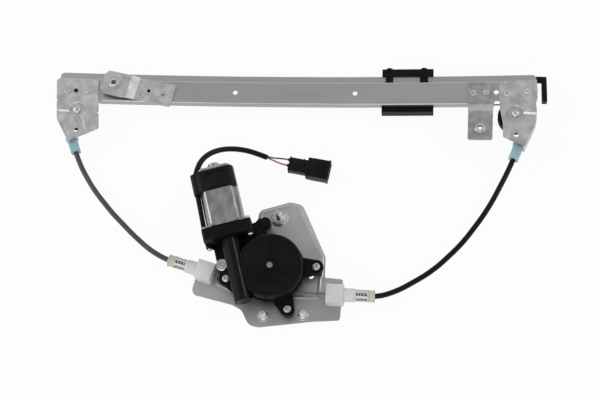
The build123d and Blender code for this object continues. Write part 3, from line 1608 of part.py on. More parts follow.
# Two-pole plug: its rear body holds the wires, its hood is open at the far end
plug_rear_len = 18.5
plug_rear_w = 15.0
plug_rear_z = (1.2, 11.8)
plug_hood_len = 23.5
plug_hood_w = 22.3
plug_hood_h = 13.6
plug_wall = 1.7
plug_depth = 18.0
terminal_step = 7.0
terminal_w = 2.4
terminal_t = 1.0
terminal_seat = 8.0
terminal_reach = 12.0
plug_len = plug_rear_len + plug_hood_len
with BuildPart() as plug_housing:
    with BuildSketch(plug_frame.offset(plug_rear_z[0])):
        with Locations((plug_rear_len / 2 + 1, 0)):
            RectangleRounded(plug_rear_len + 2, plug_rear_w, 1.2)
    extrude(amount=plug_rear_z[1] - plug_rear_z[0])
    with BuildSketch(plug_frame):
        with Locations((plug_rear_len + plug_hood_len / 2, 0)):
            RectangleRounded(plug_hood_len, plug_hood_w, 1.2)
    extrude(amount=plug_hood_h)
    mouth = Plane(
        origin=plug_frame.from_local_coords(Vector(plug_len, 0, plug_hood_h / 2)),
        x_dir=plug_frame.y_dir,
        z_dir=plug_frame.x_dir,
    )
    with BuildSketch(mouth):
        RectangleRounded(plug_hood_w - 2 * plug_wall, plug_hood_h - 2 * plug_wall, 1)
    extrude(amount=-plug_depth, mode=Mode.SUBTRACT)
    entry = Plane(origin=plug_frame.origin, x_dir=plug_frame.y_dir, z_dir=plug_frame.x_dir)
    with BuildSketch(entry):
        with Locations(*wire_spots.values()):
            Circle(wire_r + run_gap)
    extrude(amount=wire_entry + run_gap, mode=Mode.SUBTRACT)
    with BuildSketch(mouth.offset(-plug_depth)):
        with GridLocations(terminal_step, 1, 2, 1):
            Rectangle(terminal_w, terminal_t)
    extrude(amount=-terminal_seat, mode=Mode.SUBTRACT)
keep(plug_housing, "plug_housing")

with BuildPart() as plug_terminals:
    with BuildSketch(mouth.offset(-plug_depth - terminal_seat)):
        with GridLocations(terminal_step, 1, 2, 1):
            Rectangle(terminal_w, terminal_t)
    extrude(amount=terminal_seat + terminal_reach)
keep(plug_terminals, "plug_terminals")
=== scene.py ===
import math

import bmesh
import bpy
from mathutils import Matrix, Vector


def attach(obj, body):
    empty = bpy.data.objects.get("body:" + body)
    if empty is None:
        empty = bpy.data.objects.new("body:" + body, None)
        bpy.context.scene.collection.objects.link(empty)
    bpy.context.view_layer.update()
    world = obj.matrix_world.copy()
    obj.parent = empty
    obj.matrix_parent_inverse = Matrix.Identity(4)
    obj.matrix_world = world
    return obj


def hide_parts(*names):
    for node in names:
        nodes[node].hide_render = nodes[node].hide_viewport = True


# A single-rail cable window regulator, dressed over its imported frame. Metres; +X runs along the
# guide rail, +Y points from the motor unit to the rail, +Z away from the surface it lies on.
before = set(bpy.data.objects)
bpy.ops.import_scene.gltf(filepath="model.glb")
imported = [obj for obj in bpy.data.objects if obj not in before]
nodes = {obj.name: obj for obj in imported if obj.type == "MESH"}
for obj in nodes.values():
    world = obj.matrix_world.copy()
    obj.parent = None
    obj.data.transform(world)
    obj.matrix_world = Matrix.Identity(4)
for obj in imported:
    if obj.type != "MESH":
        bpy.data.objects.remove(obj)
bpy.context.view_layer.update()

# Camera: a short telephoto, looking down at the unit from the motor's side, leaning a little to
# the right, and turned by about a degree, as the photograph was.
camera_target = Vector((0.008, -0.0045, 0.0))
camera_distance = 1.1
camera_tilt = math.radians(20)
camera_lean = math.radians(5)
camera_roll = math.radians(1.13)
sensor_width = 36
focal_pixels, photo_pixels = 1100, 600
towards = Vector(
    (
        math.sin(camera_lean),
        -math.sin(camera_tilt) * math.cos(camera_lean),
        math.cos(camera_tilt) * math.cos(camera_lean),
    )
)
level = (Vector((1, 0, 0)) - towards * towards.x).normalized()
upright = towards.cross(level)
camera_right = level * math.cos(camera_roll) + upright * math.sin(camera_roll)
camera_up = upright * math.cos(camera_roll) - level * math.sin(camera_roll)
camera = bpy.data.objects.new("camera", bpy.data.cameras.new("camera"))
camera.data.sensor_width = sensor_width
camera.data.lens = sensor_width * focal_pixels / photo_pixels
camera.data.clip_start = 0.01
camera.matrix_world = Matrix.Translation(camera_target + towards * camera_distance) @ Matrix(
    (camera_right, camera_up, towards)
).transposed().to_4x4()
bpy.context.scene.collection.objects.link(camera)
bpy.context.scene.camera = camera
bpy.context.scene.view_settings.view_transform = "Standard"


# Harness sleeve: soft black tube over the two supply wires. It leaves the motor's cover, drops to
# the surface in one bend and ends short of the plug. The route is the tube's own, in metres.
def finish(
    name, low, high, rough, metal=0.0, patch=45, grain=1500, bump=0.00008, stretch=(1, 1, 1),
    shine=0.5, clear=0.0,
):
    """Material with blotches between two tones, uneven roughness and a fine grain."""
    material = bpy.data.materials.new(name)
    material.use_nodes = True
    tree = material.node_tree
    shader = tree.nodes["Principled BSDF"]
    shader.inputs["Metallic"].default_value = metal
    shader.inputs["Specular IOR Level"].default_value = shine
    shader.inputs["Transmission Weight"].default_value = clear
    place = tree.nodes.new("ShaderNodeTexCoord")
    mapping = tree.nodes.new("ShaderNodeMapping")
    mapping.inputs["Scale"].default_value = stretch
    tree.links.new(place.outputs["Object"], mapping.inputs["Vector"])
    blotch = tree.nodes.new("ShaderNodeTexNoise")
    blotch.inputs["Scale"].default_value = patch
    blotch.inputs["Detail"].default_value = 6
    tree.links.new(mapping.outputs["Vector"], blotch.inputs["Vector"])
    tones = tree.nodes.new("ShaderNodeValToRGB")
    tones.color_ramp.elements[0].position = 0.3
    tones.color_ramp.elements[0].color = (*low, 1)
    tones.color_ramp.elements[1].position = 0.7
    tones.color_ramp.elements[1].color = (*high, 1)
    tree.links.new(blotch.outputs["Fac"], tones.inputs["Fac"])
    tree.links.new(tones.outputs["Color"], shader.inputs["Base Color"])
    gloss = tree.nodes.new("ShaderNodeMapRange")
    gloss.inputs["To Min"].default_value = rough - 0.07
    gloss.inputs["To Max"].default_value = rough + 0.09
    tree.links.new(blotch.outputs["Fac"], gloss.inputs["Value"])
    tree.links.new(gloss.outputs["Result"], shader.inputs["Roughness"])
    fine = tree.nodes.new("ShaderNodeTexNoise")
    fine.inputs["Scale"].default_value = grain
    tree.links.new(mapping.outputs["Vector"], fine.inputs["Vector"])
    relief = tree.nodes.new("ShaderNodeBump")
    relief.inputs["Distance"].default_value = bump
    relief.inputs["Strength"].default_value = 0.6
    tree.links.new(fine.outputs["Fac"], relief.inputs["Height"])
    tree.links.new(relief.outputs["Normal"], shader.inputs["Normal"])
    return material


def spline_cord(name, points, radius, material):
    """Round cord on one smooth spline through its control points."""
    curve = bpy.data.curves.new(name, "CURVE")
    curve.dimensions = "3D"
    curve.bevel_depth = radius
    curve.bevel_resolution = 6
    curve.resolution_u = 16
    curve.use_fill_caps = True
    line = curve.splines.new("NURBS")
    line.points.add(len(points) - 1)
    for point, spot in zip(line.points, points):
        point.co = (*spot, 1)
    line.order_u = 3
    line.use_endpoint_u = True
    curve.materials.append(material)
    cord = bpy.data.objects.new(name, curve)
    bpy.context.scene.collection.objects.link(cord)
    return cord


sleeve_radius = 0.00275
sleeve_route = [
    (-0.09334, 0.00108, 0.03532),
    (-0.0916, 0.0121, 0.0370),
    (-0.0884, 0.0242, 0.0325),
    (-0.0818, 0.0356, 0.0230),
    (-0.0712, 0.0438, 0.0135),
    (-0.0577, 0.0472, 0.0062),
    (-0.0420, 0.0455, 0.00285),
    (-0.0274, 0.0396, 0.00275),
]
sleeve_rubber = finish(
    "sleeve_rubber", (0.004, 0.004, 0.0044), (0.008, 0.008, 0.0088), 0.45, grain=2600, shine=0.12
)
harness = spline_cord("harness_tube", sleeve_route, sleeve_radius, sleeve_rubber)
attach(harness, "base")
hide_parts("harness_sleeve")

# Supply wires: thin stranded copper in dark blue and purple insulation, side by side in the
# sleeve, parting in front of the plug, where each enters its own seal.
wire_radius = 0.0008
wire_step = 0.00104
seal_height = 0.009
supply_route = [
    *[(x, y, z + wire_step) for x, y, z in sleeve_route[:-1]],
    (-0.0228, 0.0386, sleeve_radius + wire_step),
    (-0.0113, 0.03642, seal_height),
    (0.0005, 0.03434, seal_height),
]
ground_route = [
    *[(x, y, z - wire_step) for x, y, z in sleeve_route[:-1]],
    (-0.0228, 0.0380, sleeve_radius - wire_step),
    (-0.01239, 0.03022, seal_height),
    (-0.00057, 0.02813, seal_height),
]
blue_vinyl = finish("blue_vinyl", (0.018, 0.022, 0.06), (0.03, 0.036, 0.09), 0.35, grain=3000)
purple_vinyl = finish("purple_vinyl", (0.26, 0.035, 0.12), (0.36, 0.06, 0.18), 0.35, grain=3000)
supply = spline_cord("supply_lead", supply_route, wire_radius, blue_vinyl)
ground = spline_cord("ground_lead", ground_route, wire_radius, purple_vinyl)
for cord, slot_name, node in (
    (supply, "wire_blue", "supply_wire"),
    (ground, "wire_pink", "ground_wire"),
):
    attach(cord, "base")
    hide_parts(node)

# Plug: black glass-filled nylon, one moulding with a slim rear body and an open hood. Ribs
# stiffen it, a latch bridge stands on the hood, and a soft grommet seals each wire.
millimetre = 0.001


def shift(x, y, z):
    """Step in millimetres."""
    return Matrix.Translation(Vector((x, y, z)) * millimetre)


def spin(degrees, axis="Z"):
    """Turn about an axis."""
    return Matrix.Rotation(math.radians(degrees), 4, axis)


def add_points(maker, place, spots):
    """Adds points, in millimetres on a place."""
    return [maker.verts.new(place @ (Vector(spot) * millimetre)) for spot in spots]


def skin(maker, rings, capped=False):
    """Adds the faces from each ring of points to the next, where a ring may be one point."""
    steps = max(len(ring) for ring in rings)
    for below, above in zip(rings, rings[1:]):
        for step in range(steps):
            after = (step + 1) % steps
            corners = [below[step % len(below)], below[after % len(below)]]
            corners += [above[after % len(above)], above[step % len(above)]]
            corners = list(dict.fromkeys(corners))
            if len(corners) > 2:
                maker.faces.new(corners)
    if capped:
        maker.faces.new(rings[0])
        maker.faces.new(rings[-1])


def dress(material, *names):
    """Gives CAD nodes a finer material."""
    for name in names:
        slots = nodes[name].data.materials
        slots.clear()
        slots.append(material)


def tidy_mesh(maker, name, sharp=35):
    """Turns a bmesh into a mesh whose flat faces keep their edges."""
    bmesh.ops.remove_doubles(maker, verts=maker.verts, dist=1e-7)
    bmesh.ops.recalc_face_normals(maker, faces=maker.faces)
    for face in maker.faces:
        face.smooth = True
    for edge in maker.edges:
        edge.smooth = len(edge.link_faces) == 2 and edge.calc_face_angle() < math.radians(sharp)
    mesh = bpy.data.meshes.new(name)
    maker.to_mesh(mesh)
    maker.free()
    return mesh


def fit_piece(name, maker, material, body="base", stands_for=(), sharp=35):
    """Puts a built form into the scene as a piece on a body."""
    mesh = tidy_mesh(maker, name, sharp)
    mesh.materials.append(material)
    piece = bpy.data.objects.new(name, mesh)
    bpy.context.scene.collection.objects.link(piece)
    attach(piece, body)
    if stands_for:
        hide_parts(*stands_for)


def block(maker, low, high, place=Matrix(), soft=0.3):
    """Adds a box with softened edges, its corners in millimetres on its own place."""
    part = bmesh.new()
    bmesh.ops.create_cube(part, size=1)
    bmesh.ops.scale(part, vec=[b - a for a, b in zip(low, high)], verts=part.verts)
    bmesh.ops.bevel(part, geom=part.edges[:], offset=soft, segments=2, profile=0.5, affect="EDGES")
    bmesh.ops.translate(part, vec=[(a + b) / 2 for a, b in zip(low, high)], verts=part.verts)
    bmesh.ops.transform(part, matrix=place @ Matrix.Scale(millimetre, 4), verts=part.verts)
    mesh = bpy.data.meshes.new("block")
    part.to_mesh(mesh)
    part.free()
    maker.from_mesh(mesh)
    bpy.data.meshes.remove(mesh)


def turned(maker, profile, place=Matrix(), steps=40):
    """Adds a turned form: (radius, height, lobes' depth) in millimetres about the place's Z."""
    profile = list(profile)
    if profile[0][0] and profile[-1][0]:
        profile.append(profile[0])
    elif profile[0][0]:
        profile.insert(0, (0, profile[0][1]))
    elif profile[-1][0]:
        profile.append((0, profile[-1][1]))
    rings = []
    for radius, height, *lobes in profile:
        spots = []
        for step in range(steps if radius else 1):
            turn = 2 * math.pi * step / steps
            reach = radius + sum(lobes) * math.cos(6 * turn)
            spots.append((reach * math.cos(turn), reach * math.sin(turn), height))
        rings.append(add_points(maker, place, spots))
    skin(maker, rings)


plug_place = shift(-4.2, 30.6, 0) @ spin(-10)
plug_black = finish(
    "plug_black", (0.003, 0.003, 0.0034), (0.006, 0.006, 0.0066), 0.34, grain=1800, shine=0.12
)
terminal_tin = finish("terminal_tin", (0.55, 0.53, 0.48), (0.68, 0.66, 0.6), 0.3, metal=1.0)
plug = bmesh.new()
body_half, body_top = 7.0, 11.4
hood_from, hood_to, hood_half, hood_top, hood_wall = 18.5, 41.5, 10.0, 12.0, 1.6
hood_inner, hood_roof, rim_from = hood_half - hood_wall, hood_top - hood_wall, hood_to - 1.6
block(plug, (0, -body_half, 1.2), (19.5, body_half, body_top), plug_place, 0.8)
block(plug, (hood_from, -hood_half, 0.2), (24.2, hood_half, hood_top), plug_place, 0.8)
# The hood's floor, roof and sides, its rim, the latch's rails and bridge, and the body's keel
# and collars.
for low, high in (
    ((24, -hood_half, 0.2), (hood_to, hood_half, 0.2 + hood_wall)),
    ((24, -hood_half, hood_roof), (hood_to, hood_half, hood_top)),
    ((24.1, -hood_half + 0.05, 0.4), (hood_to - 0.1, -hood_inner, hood_top - 0.2)),
    ((24.1, hood_inner, 0.4), (hood_to - 0.1, hood_half - 0.05, hood_top - 0.2)),
    ((rim_from, -hood_half - 0.5, 0), (hood_to, -hood_inner, hood_top + 0.4)),
    ((rim_from, hood_inner, 0), (hood_to, hood_half + 0.5, hood_top + 0.4)),
    (
        (hood_to - 1.5, -hood_half - 0.4, hood_roof),
        (hood_to + 0.1, hood_half + 0.4, hood_top + 0.45),
    ),
    ((26, -3.6, hood_top - 0.3), (38, -2.6, hood_top + 0.55)),
    ((26, 2.6, hood_top - 0.3), (38, 3.6, hood_top + 0.55)),
    ((32, -3.6, hood_top), (34.5, 3.6, hood_top + 0.6)),
    ((2, -0.5, 11), (17, 0.5, 11.8)),
    ((0.2, -7.4, 2), (1.8, 7.4, 11.8)),
    ((14, -7.4, 2), (15.2, 7.4, 11.8)),
):
    block(plug, low, high, plug_place, 0.25)
for rib in (5, 8, 11):
    block(plug, (rib, -7.3, 3), (rib + 1.1, 7.3, 10), plug_place, 0.3)
fit_piece("plug_shell", plug, plug_black, stands_for=("plug_housing",))
seal_profile = [(0.85, 1.6), (1.5, 1.5), (1.8, 0.9), (1.5, 0.5), (1.9, 0.1), (1.9, -1)]
seals = bmesh.new()
for aside in (4.5, -1.8):
    turned(seals, seal_profile, plug_place @ shift(0, aside, 9) @ spin(-90, "Y"), 24)
fit_piece("plug_seals", seals, sleeve_rubber)
dress(terminal_tin, "plug_terminals")

# Guide rail: zinc-coated steel strip, roll-formed to a hat section and bowed like the glass. The
# rolling leaves fine streaks along it.
rail_zinc = finish(
    "rail_zinc", (0.34, 0.34, 0.35), (0.43, 0.43, 0.44), 0.36, metal=0.9, patch=26, grain=900,
    bump=0.00005, stretch=(0.12, 1, 1),
)
dress(rail_zinc, "guide_rail")

# Pulley brackets: deep-drawn from the same coated strip and riveted over the rail's ends. Each
# carries a pulley on its pin and holds the conduit's fitting in a notch.
bracket_zinc = finish(
    "bracket_zinc", (0.38, 0.39, 0.40), (0.58, 0.59, 0.60), 0.34, metal=0.9, patch=110, grain=1200,
)
dress(bracket_zinc, "left_pulley_bracket", "right_pulley_bracket")

# Pulley pins and rivets: cold-headed steel, zinc plated. Each pin's head is a smooth dome and
# each rail rivet's a ring, and the right door bracket is clinched with a cross-shaped punch.
bow_low, bow_radius, rail_line, web_low = -0.0445, 3.9, 0.106, 0.0152


def on_rail(x, across=0.0, turn=0.0, along=0.0, aside=0.0, rise=0.0):
    """Place on the bowed web at x, then turned about its normal and shifted, in millimetres."""
    lean = math.asin((x * millimetre - bow_low) / bow_radius)
    origin = Vector((x * millimetre, rail_line, web_low + bow_radius * (1 - math.cos(lean))))
    web = Matrix.Translation(origin) @ Matrix.Rotation(-lean, 4, "Y")
    return web @ shift(0, across, 0) @ spin(turn) @ shift(along, aside, rise)


bright_zinc = finish(
    "bright_zinc", (0.38, 0.38, 0.375), (0.6, 0.6, 0.59), 0.3, metal=0.95, patch=160, grain=2200,
)
dress(bright_zinc, "left_pulley_pin", "right_pulley_pin")
dress(bracket_zinc, "rail_rivets")
pulley_x = {"left": -225.0, "right": 219.5}
pin_across = -23.8
rivet_spots = {"left": ((-12.6, 20.3), (7.5, 21.2)), "right": ((-7.8, 20.7), (12.2, 23.1))}
pin_dome = [(0, 3.2), (1.2, 3.1), (2.3, 2.8), (3.1, 2.2), (3.4, 1.5), (3.4, 0.9)]
rivet_ring = [(1.5, 0.1), (1.7, 0.35), (2.2, 0.35), (2.5, 0.05), (1.9, -0.1)]
rivet_rise = 2.72
right_foot = (186.9, 1.0, -91.8)
marks = bmesh.new()
for side, x in pulley_x.items():
    turned(marks, pin_dome, on_rail(x, pin_across))
    for along, aside in rivet_spots[side]:
        turned(marks, rivet_ring, on_rail(x, pin_across, 0, along, aside, rivet_rise), 32)
for along, aside in ((2.7, -8.4), (2.3, 4.2)):
    for turn in (20, 110):
        punch = on_rail(*right_foot, along, aside, 2.5) @ spin(turn)
        block(marks, (-2.9, -0.7, 0), (2.9, 0.7, 0.75), punch, 0.3)
fit_piece("rivet_marks", marks, bright_zinc)

# Pulleys: black acetal mouldings, turning on the pins behind the brackets. A moulded rim and a
# hub ring stand on each pulley's back.
acetal_black = finish(
    "acetal_black", (0.004, 0.004, 0.0044), (0.008, 0.008, 0.0085), 0.32, shine=0.15
)
dress(acetal_black, "left_pulley", "right_pulley")
pulley_back = -13.5
for side, x in pulley_x.items():
    rims = bmesh.new()
    for radius in (15.6, 5.2):
        ring = [(radius, 0.2), (radius + 0.3, -0.35), (radius + 0.9, -0.35), (radius + 1.2, 0.2)]
        turned(rims, ring, on_rail(x, pin_across, rise=pulley_back), 64)
    fit_piece(f"{side}_pulley_rim", rims, acetal_black, f"{side}_pulley")

# Door brackets: joggled zinc-coated strips clinched to the web, each with a nut for the screw to
# the door. The nuts are turned collars, threaded inside, and black domed plugs fill two holes.
dull_zinc = finish(
    "dull_zinc", (0.26, 0.265, 0.27), (0.42, 0.425, 0.43), 0.38, metal=0.9, patch=120, grain=1200,
)
dress(bracket_zinc, "left_mount_bracket")
dress(dull_zinc, "right_mount_bracket")


def thread(maker, place, radius, pitch, depth, low, high, outside=0):
    """Adds a rolled thread along the place's Z, in millimetres, as a bar or inside a tube."""
    steps, rows = 36, 7
    turns = [2 * math.pi * step / steps for step in range(steps)]
    levels = round((high - low) / pitch * rows)
    rings = []
    for row in range(levels + 1):
        height = low + (high - low) * row / levels
        fade = min(1, (high - height) / pitch + 0.25)
        spots = []
        for step, turn in enumerate(turns):
            phase = (height / pitch - step / steps) % 1
            reach = radius - abs(2 * phase - 1) * depth - (1 - fade) * depth
            spots.append((reach * math.cos(turn), reach * math.sin(turn), height))
        rings.append(add_points(maker, place, spots))
    skin(maker, rings, capped=not outside)
    if outside:
        walls = []
        for height in (low, high):
            spots = [(outside * math.cos(turn), outside * math.sin(turn), height) for turn in turns]
            walls.append(add_points(maker, place, spots))
        skin(maker, [rings[0], *walls, rings[-1]])


left_foot = on_rail(-146.0) @ shift(-42.1, 6.2, 0) @ spin(-11.7)
nut_profile = [
    (2.9, 4.5), (3.3, 4.5), (3.3, 6.0), (4.9, 6.0), (4.9, 6.6), (4.4, 6.9), (4.4, 9.9),
    (3.9, 10.4), (3.2, 10.4), (2.9, 10.0),
]
nuts = bmesh.new()
for place in (left_foot @ shift(0.5, -1.6, 0), on_rail(*right_foot, 43.4, -0.6)):
    turned(nuts, nut_profile, place)
    thread(nuts, place, 2.89, 1.0, 0.35, 4.5, 9.95, outside=2.95)
fit_piece("threaded_nuts", nuts, bright_zinc, stands_for=("mount_nuts",))
moulding_black = finish(
    "moulding_black", (0.003, 0.003, 0.0034), (0.007, 0.007, 0.0076), 0.38, patch=60, grain=1600,
    shine=0.1,
)
# Black domed plugs fill two holes, one in the left door bracket and one in the left pulley bracket.
hole_plug_profile = [(0, 1.0), (0.9, 1.15), (1.75, 1.1), (1.78, -0.6), (1.4, -1.1), (0, -1.3)]
hole_plugs = bmesh.new()
for place in (
    left_foot @ shift(36.2, 0.4, 0),
    on_rail(pulley_x["left"], pin_across, 0, -3.3, 21.3),
):
    turned(hole_plugs, hole_plug_profile, place, 28)
fit_piece("dark_hole_plugs", hole_plugs, moulding_black)

# Bumper: black rubber-like moulding pushed onto the rail's end, where the carrier would stop. Its
# face has a raised panel, and a lip runs over its upper edge.
dress(moulding_black, "end_bumper")
rail_end = on_rail(246.0)
pad = bmesh.new()
for low, high, soft in (
    ((2.6, -8.8, -12.2), (5.0, 18.2, -4.4), 0.6),
    ((-4.4, 17.2, -12.0), (3.4, 18.4, -4.6), 0.4),
    ((4.7, -7.0, -10.6), (5.3, 16.4, -6.0), 0.25),
):
    block(pad, low, high, rail_end, soft)
fit_piece("bumper_pad", pad, moulding_black)

# Conduit fittings: light blue nylon mouldings, a little translucent. Each clips into a bracket's
# notch and leads the inner cable to its pulley.
blue_nylon = finish(
    "blue_nylon", (0.34, 0.62, 0.68), (0.46, 0.73, 0.78), 0.38, patch=90, shine=0.35, clear=0.25
)
dress(blue_nylon, "left_conduit_fitting", "right_conduit_fitting")

# Conduits: wound steel strip in a black plastic jacket, pushed into the fittings. The left one
# has faded to grey.
jacket_black = finish(
    "jacket_black", (0.004, 0.0035, 0.004), (0.008, 0.007, 0.0075), 0.38, shine=0.12
)
jacket_grey = finish("jacket_grey", (0.05, 0.05, 0.052), (0.075, 0.075, 0.078), 0.42, shine=0.3)
dress(jacket_black, "right_conduit")
dress(jacket_grey, "left_conduit")

# Inner cables: stranded steel, greased, with a nipple crimped on each end. They are seen only
# behind the rail and at the drum, where they are wound into its groove.
cable_steel = finish(
    "cable_steel", (0.08, 0.08, 0.08), (0.17, 0.17, 0.16), 0.35, metal=0.9, grain=4000
)
dress(cable_steel, "left_cable", "right_cable", "cable_wraps")

# Conduit adjusters: natural nylon blocks on the plate, with a sleeve, a spring and an end collar.
# Six prongs of the sleeve run out over each spring to the collar.
natural_nylon = finish(
    "natural_nylon", (0.80, 0.82, 0.80), (0.88, 0.89, 0.87), 0.4, patch=80, shine=0.4, clear=0.15
)
cream_nylon = finish(
    "cream_nylon", (0.68, 0.66, 0.54), (0.80, 0.78, 0.67), 0.42, patch=80, shine=0.4, clear=0.2
)
spring_steel = finish(
    "spring_steel", (0.42, 0.42, 0.42), (0.6, 0.6, 0.59), 0.35, metal=0.8, grain=3000
)
drum_centre = Vector((-0.0145, -0.083, 0))
cable_reach = 20.0
plate_sheet = 1.4
# Each cable's way off the drum: its direction along X, its slant in degrees and its height.
feeds = {"left": (-1, 16.4, 10.5), "right": (1, 1.3, 12.5)}
prong_count, prong_width = 6, 26
prong_section = ((5.05, 80.5), (5.75, 80.5), (5.75, 94.0), (5.05, 94.0))
prong_root = [(5.0, 79.4), (6.2, 79.4), (6.2, 82.0), (5.8, 82.6), (5.0, 82.6)]
prong_tip = [(5.0, 93.0), (5.9, 93.0), (5.9, 94.0), (5.0, 94.0)]
for side, (sign, slant, height) in feeds.items():
    dress(natural_nylon, f"{side}_adjuster_sleeve")
    dress(spring_steel, f"{side}_adjuster_spring")
    dress(cream_nylon, f"{side}_adjuster_collar")
    way = math.radians(slant)
    run = Vector((sign * math.cos(way), -sign * math.sin(way), 0))
    start = drum_centre + millimetre * Vector(
        (-cable_reach * math.sin(way), -cable_reach * math.cos(way), height)
    )
    feed = Matrix.Translation(start) @ run.to_track_quat("Z", "Y").to_matrix().to_4x4()
    prongs = bmesh.new()
    for prong in range(prong_count):
        rows = []
        for step in range(7):
            turn = math.radians(prong * 360 / prong_count + prong_width * (step / 6 - 0.5))
            edge = [(r * math.cos(turn), r * math.sin(turn), z) for r, z in prong_section]
            rows.append(add_points(prongs, feed, edge))
        skin(prongs, rows, capped=True)
    turned(prongs, prong_root, feed)
    turned(prongs, prong_tip, feed)
    fit_piece(f"{side}_adjuster_prongs", prongs, natural_nylon)
    collar_rings = bmesh.new()
    for first, last in ((93.6, 94.8), (99.2, 100.5)):
        ring = [(5.4, first), (5.9, first), (6.1, first + 0.3)]
        ring += [(6.1, last - 0.3), (5.9, last), (5.4, last)]
        turned(collar_rings, ring, feed)
    fit_piece(f"{side}_collar_rings", collar_rings, cream_nylon)
    lift = feed.to_quaternion().inverted() @ Vector((0, 0, 1))
    level_feed = feed @ Matrix.Rotation(math.atan2(lift.y, lift.x), 4, "Z")
    drop = height - plate_sheet
    body = bmesh.new()
    for low, high, soft in (
        ((-drop, -9, 53.5), (18 - drop, 9, 71), 1.3),
        ((2 - drop, -9.5, 55), (6.5 - drop, 9.5, 69.6), 0.5),
        ((17.2 - drop, -6.2, 56), (18.35 - drop, 6.2, 68.6), 0.5),
    ):
        block(body, low, high, level_feed, soft)
    fit_piece(
        f"{side}_block_body", body, natural_nylon,
        stands_for=(f"{side}_adjuster_block",),
    )

# Base plate: one steel pressing, coated grey. Its middle stands 3 mm proud on a sloped step, three
# cones carry the studs, and a shallow step runs along its lower edge.
plate_grey = finish(
    "plate_grey", (0.36, 0.365, 0.375), (0.46, 0.465, 0.478), 0.36, metal=0.75, patch=30,
    grain=1100,
)
plate_edge = [
    (-18, 55, 2), (-17.2, 64.5, 7), (13.5, 74.4, 12), (26, 71.5, 9), (50.8, 18, 3), (51, -2.6, 1),
    (68.7, -4, 2), (67, -44.6, 3), (42, -46.4, 20), (-10.5, -53.6, 11), (-20.5, -52, 10),
    (-28.5, -37, 9), (-38, -32.2, 8), (-76.2, -23.2, 4), (-78, -18, 3), (-75.5, -5, 2), (-56, 4, 3),
    (-52, 14, 2), (-30, 25, 2), (-20, 50, 2),
]
pad_edge = [
    (-51, 16, 3), (-56.6, 0, 3), (-56, -13, 3), (-30, -24.5, 3), (47.6, -25.2, 3), (48.6, -4, 3),
    (50.2, -1, 2), (50, 18, 3), (25.6, 70.6, 8), (13.6, 73.4, 11), (-16.4, 63.8, 7), (-17.4, 52, 3),
    (-30, 25, 3),
]
step_edge = [
    (-90, -9, 0), (-76, -13.5, 2), (-31, -30.5, 12), (21, -27.5, 12), (67.5, -30.2, 2),
    (90, -31, 0), (90, 90, 0), (-90, 90, 0),
]
pad_rise = 3.0
step_rise = 0.8
slope = 1.6
lip_rise, lip_width, lip_slope = 0.7, 3.9, 1.5
cone_rise, cone_foot, cone_slope = 2.2, 8.7, 1.7
studs = [
    ((-6.3, -42.1), plate_sheet),
    ((31.4, -40.3), plate_sheet),
    ((3.4, 57.1), plate_sheet + pad_rise),
]
housing_feet = ((43, 4.5), (17.1, -38), (-43.7, -9.5))
plate_holes = ((37.7, -1.7), *housing_feet)
hole_radius = 2.5


def rounded(corners, steps=6):
    """Outline with each corner (x, y, radius) rounded by an arc."""
    line = []
    for before, here, after in zip(corners[-1:] + corners[:-1], corners, corners[1:] + corners[:1]):
        spot = Vector(here[:2])
        back = (Vector(before[:2]) - spot).normalized()
        ahead = (Vector(after[:2]) - spot).normalized()
        half = back.angle(ahead) / 2
        if here[2] == 0:
            line.append(spot)
            continue
        reach = here[2] / math.tan(half)
        centre = spot + (back + ahead).normalized() * here[2] / math.sin(half)
        first = spot + back * reach - centre
        last = spot + ahead * reach - centre
        swing = first.angle_signed(last)
        for step in range(steps + 1):
            turn = -swing * step / steps
            line.append(centre + Matrix.Rotation(turn, 2) @ first)
    return line


def depth_in(outline, spot):
    """Distance from a spot to an outline, positive inside it."""
    nearest = 1e9
    inside = False
    x, y = spot
    for (ax, ay), (bx, by) in zip(outline, outline[1:] + outline[:1]):
        wide, high = bx - ax, by - ay
        share = ((x - ax) * wide + (y - ay) * high) / (wide * wide + high * high)
        share = 0 if share < 0 else 1 if share > 1 else share
        nearest = min(nearest, (ax + wide * share - x) ** 2 + (ay + high * share - y) ** 2)
        if (ay > y) != (by > y) and x < ax + (y - ay) * wide / high:
            inside = not inside
    return math.sqrt(nearest) if inside else -math.sqrt(nearest)


def ease(share):
    """Smooth rise from 0 to 1."""
    share = max(0, min(1, share))
    return share * share * (3 - 2 * share)


def outline_prism(outline, holes, radius, low, high):
    """Solid of an outline with round holes, between two heights, in millimetres."""
    curve = bpy.data.curves.new("outline", "CURVE")
    curve.dimensions = "2D"
    curve.fill_mode = "BOTH"
    curve.extrude = (high - low) / 2
    turns = [step * math.pi / 16 for step in range(32)]
    circles = [
        [Vector(spot) + Vector((math.cos(turn), math.sin(turn))) * radius for turn in turns]
        for spot in holes
    ]
    for line in [outline] + circles:
        spline = curve.splines.new("POLY")
        spline.points.add(len(line) - 1)
        for point, spot in zip(spline.points, line):
            point.co = (spot[0], spot[1], 0, 1)
        spline.use_cyclic_u = True
    holder = bpy.data.objects.new("outline", curve)
    mesh = bpy.data.meshes.new_from_object(holder)
    bpy.data.objects.remove(holder)
    mesh.transform(Matrix.Translation((0, 0, (low + high) / 2)))
    maker = bmesh.new()
    maker.from_mesh(mesh)
    bmesh.ops.remove_doubles(maker, verts=maker.verts, dist=0.001)
    bmesh.ops.recalc_face_normals(maker, faces=maker.faces)
    maker.to_mesh(mesh)
    maker.free()
    return mesh


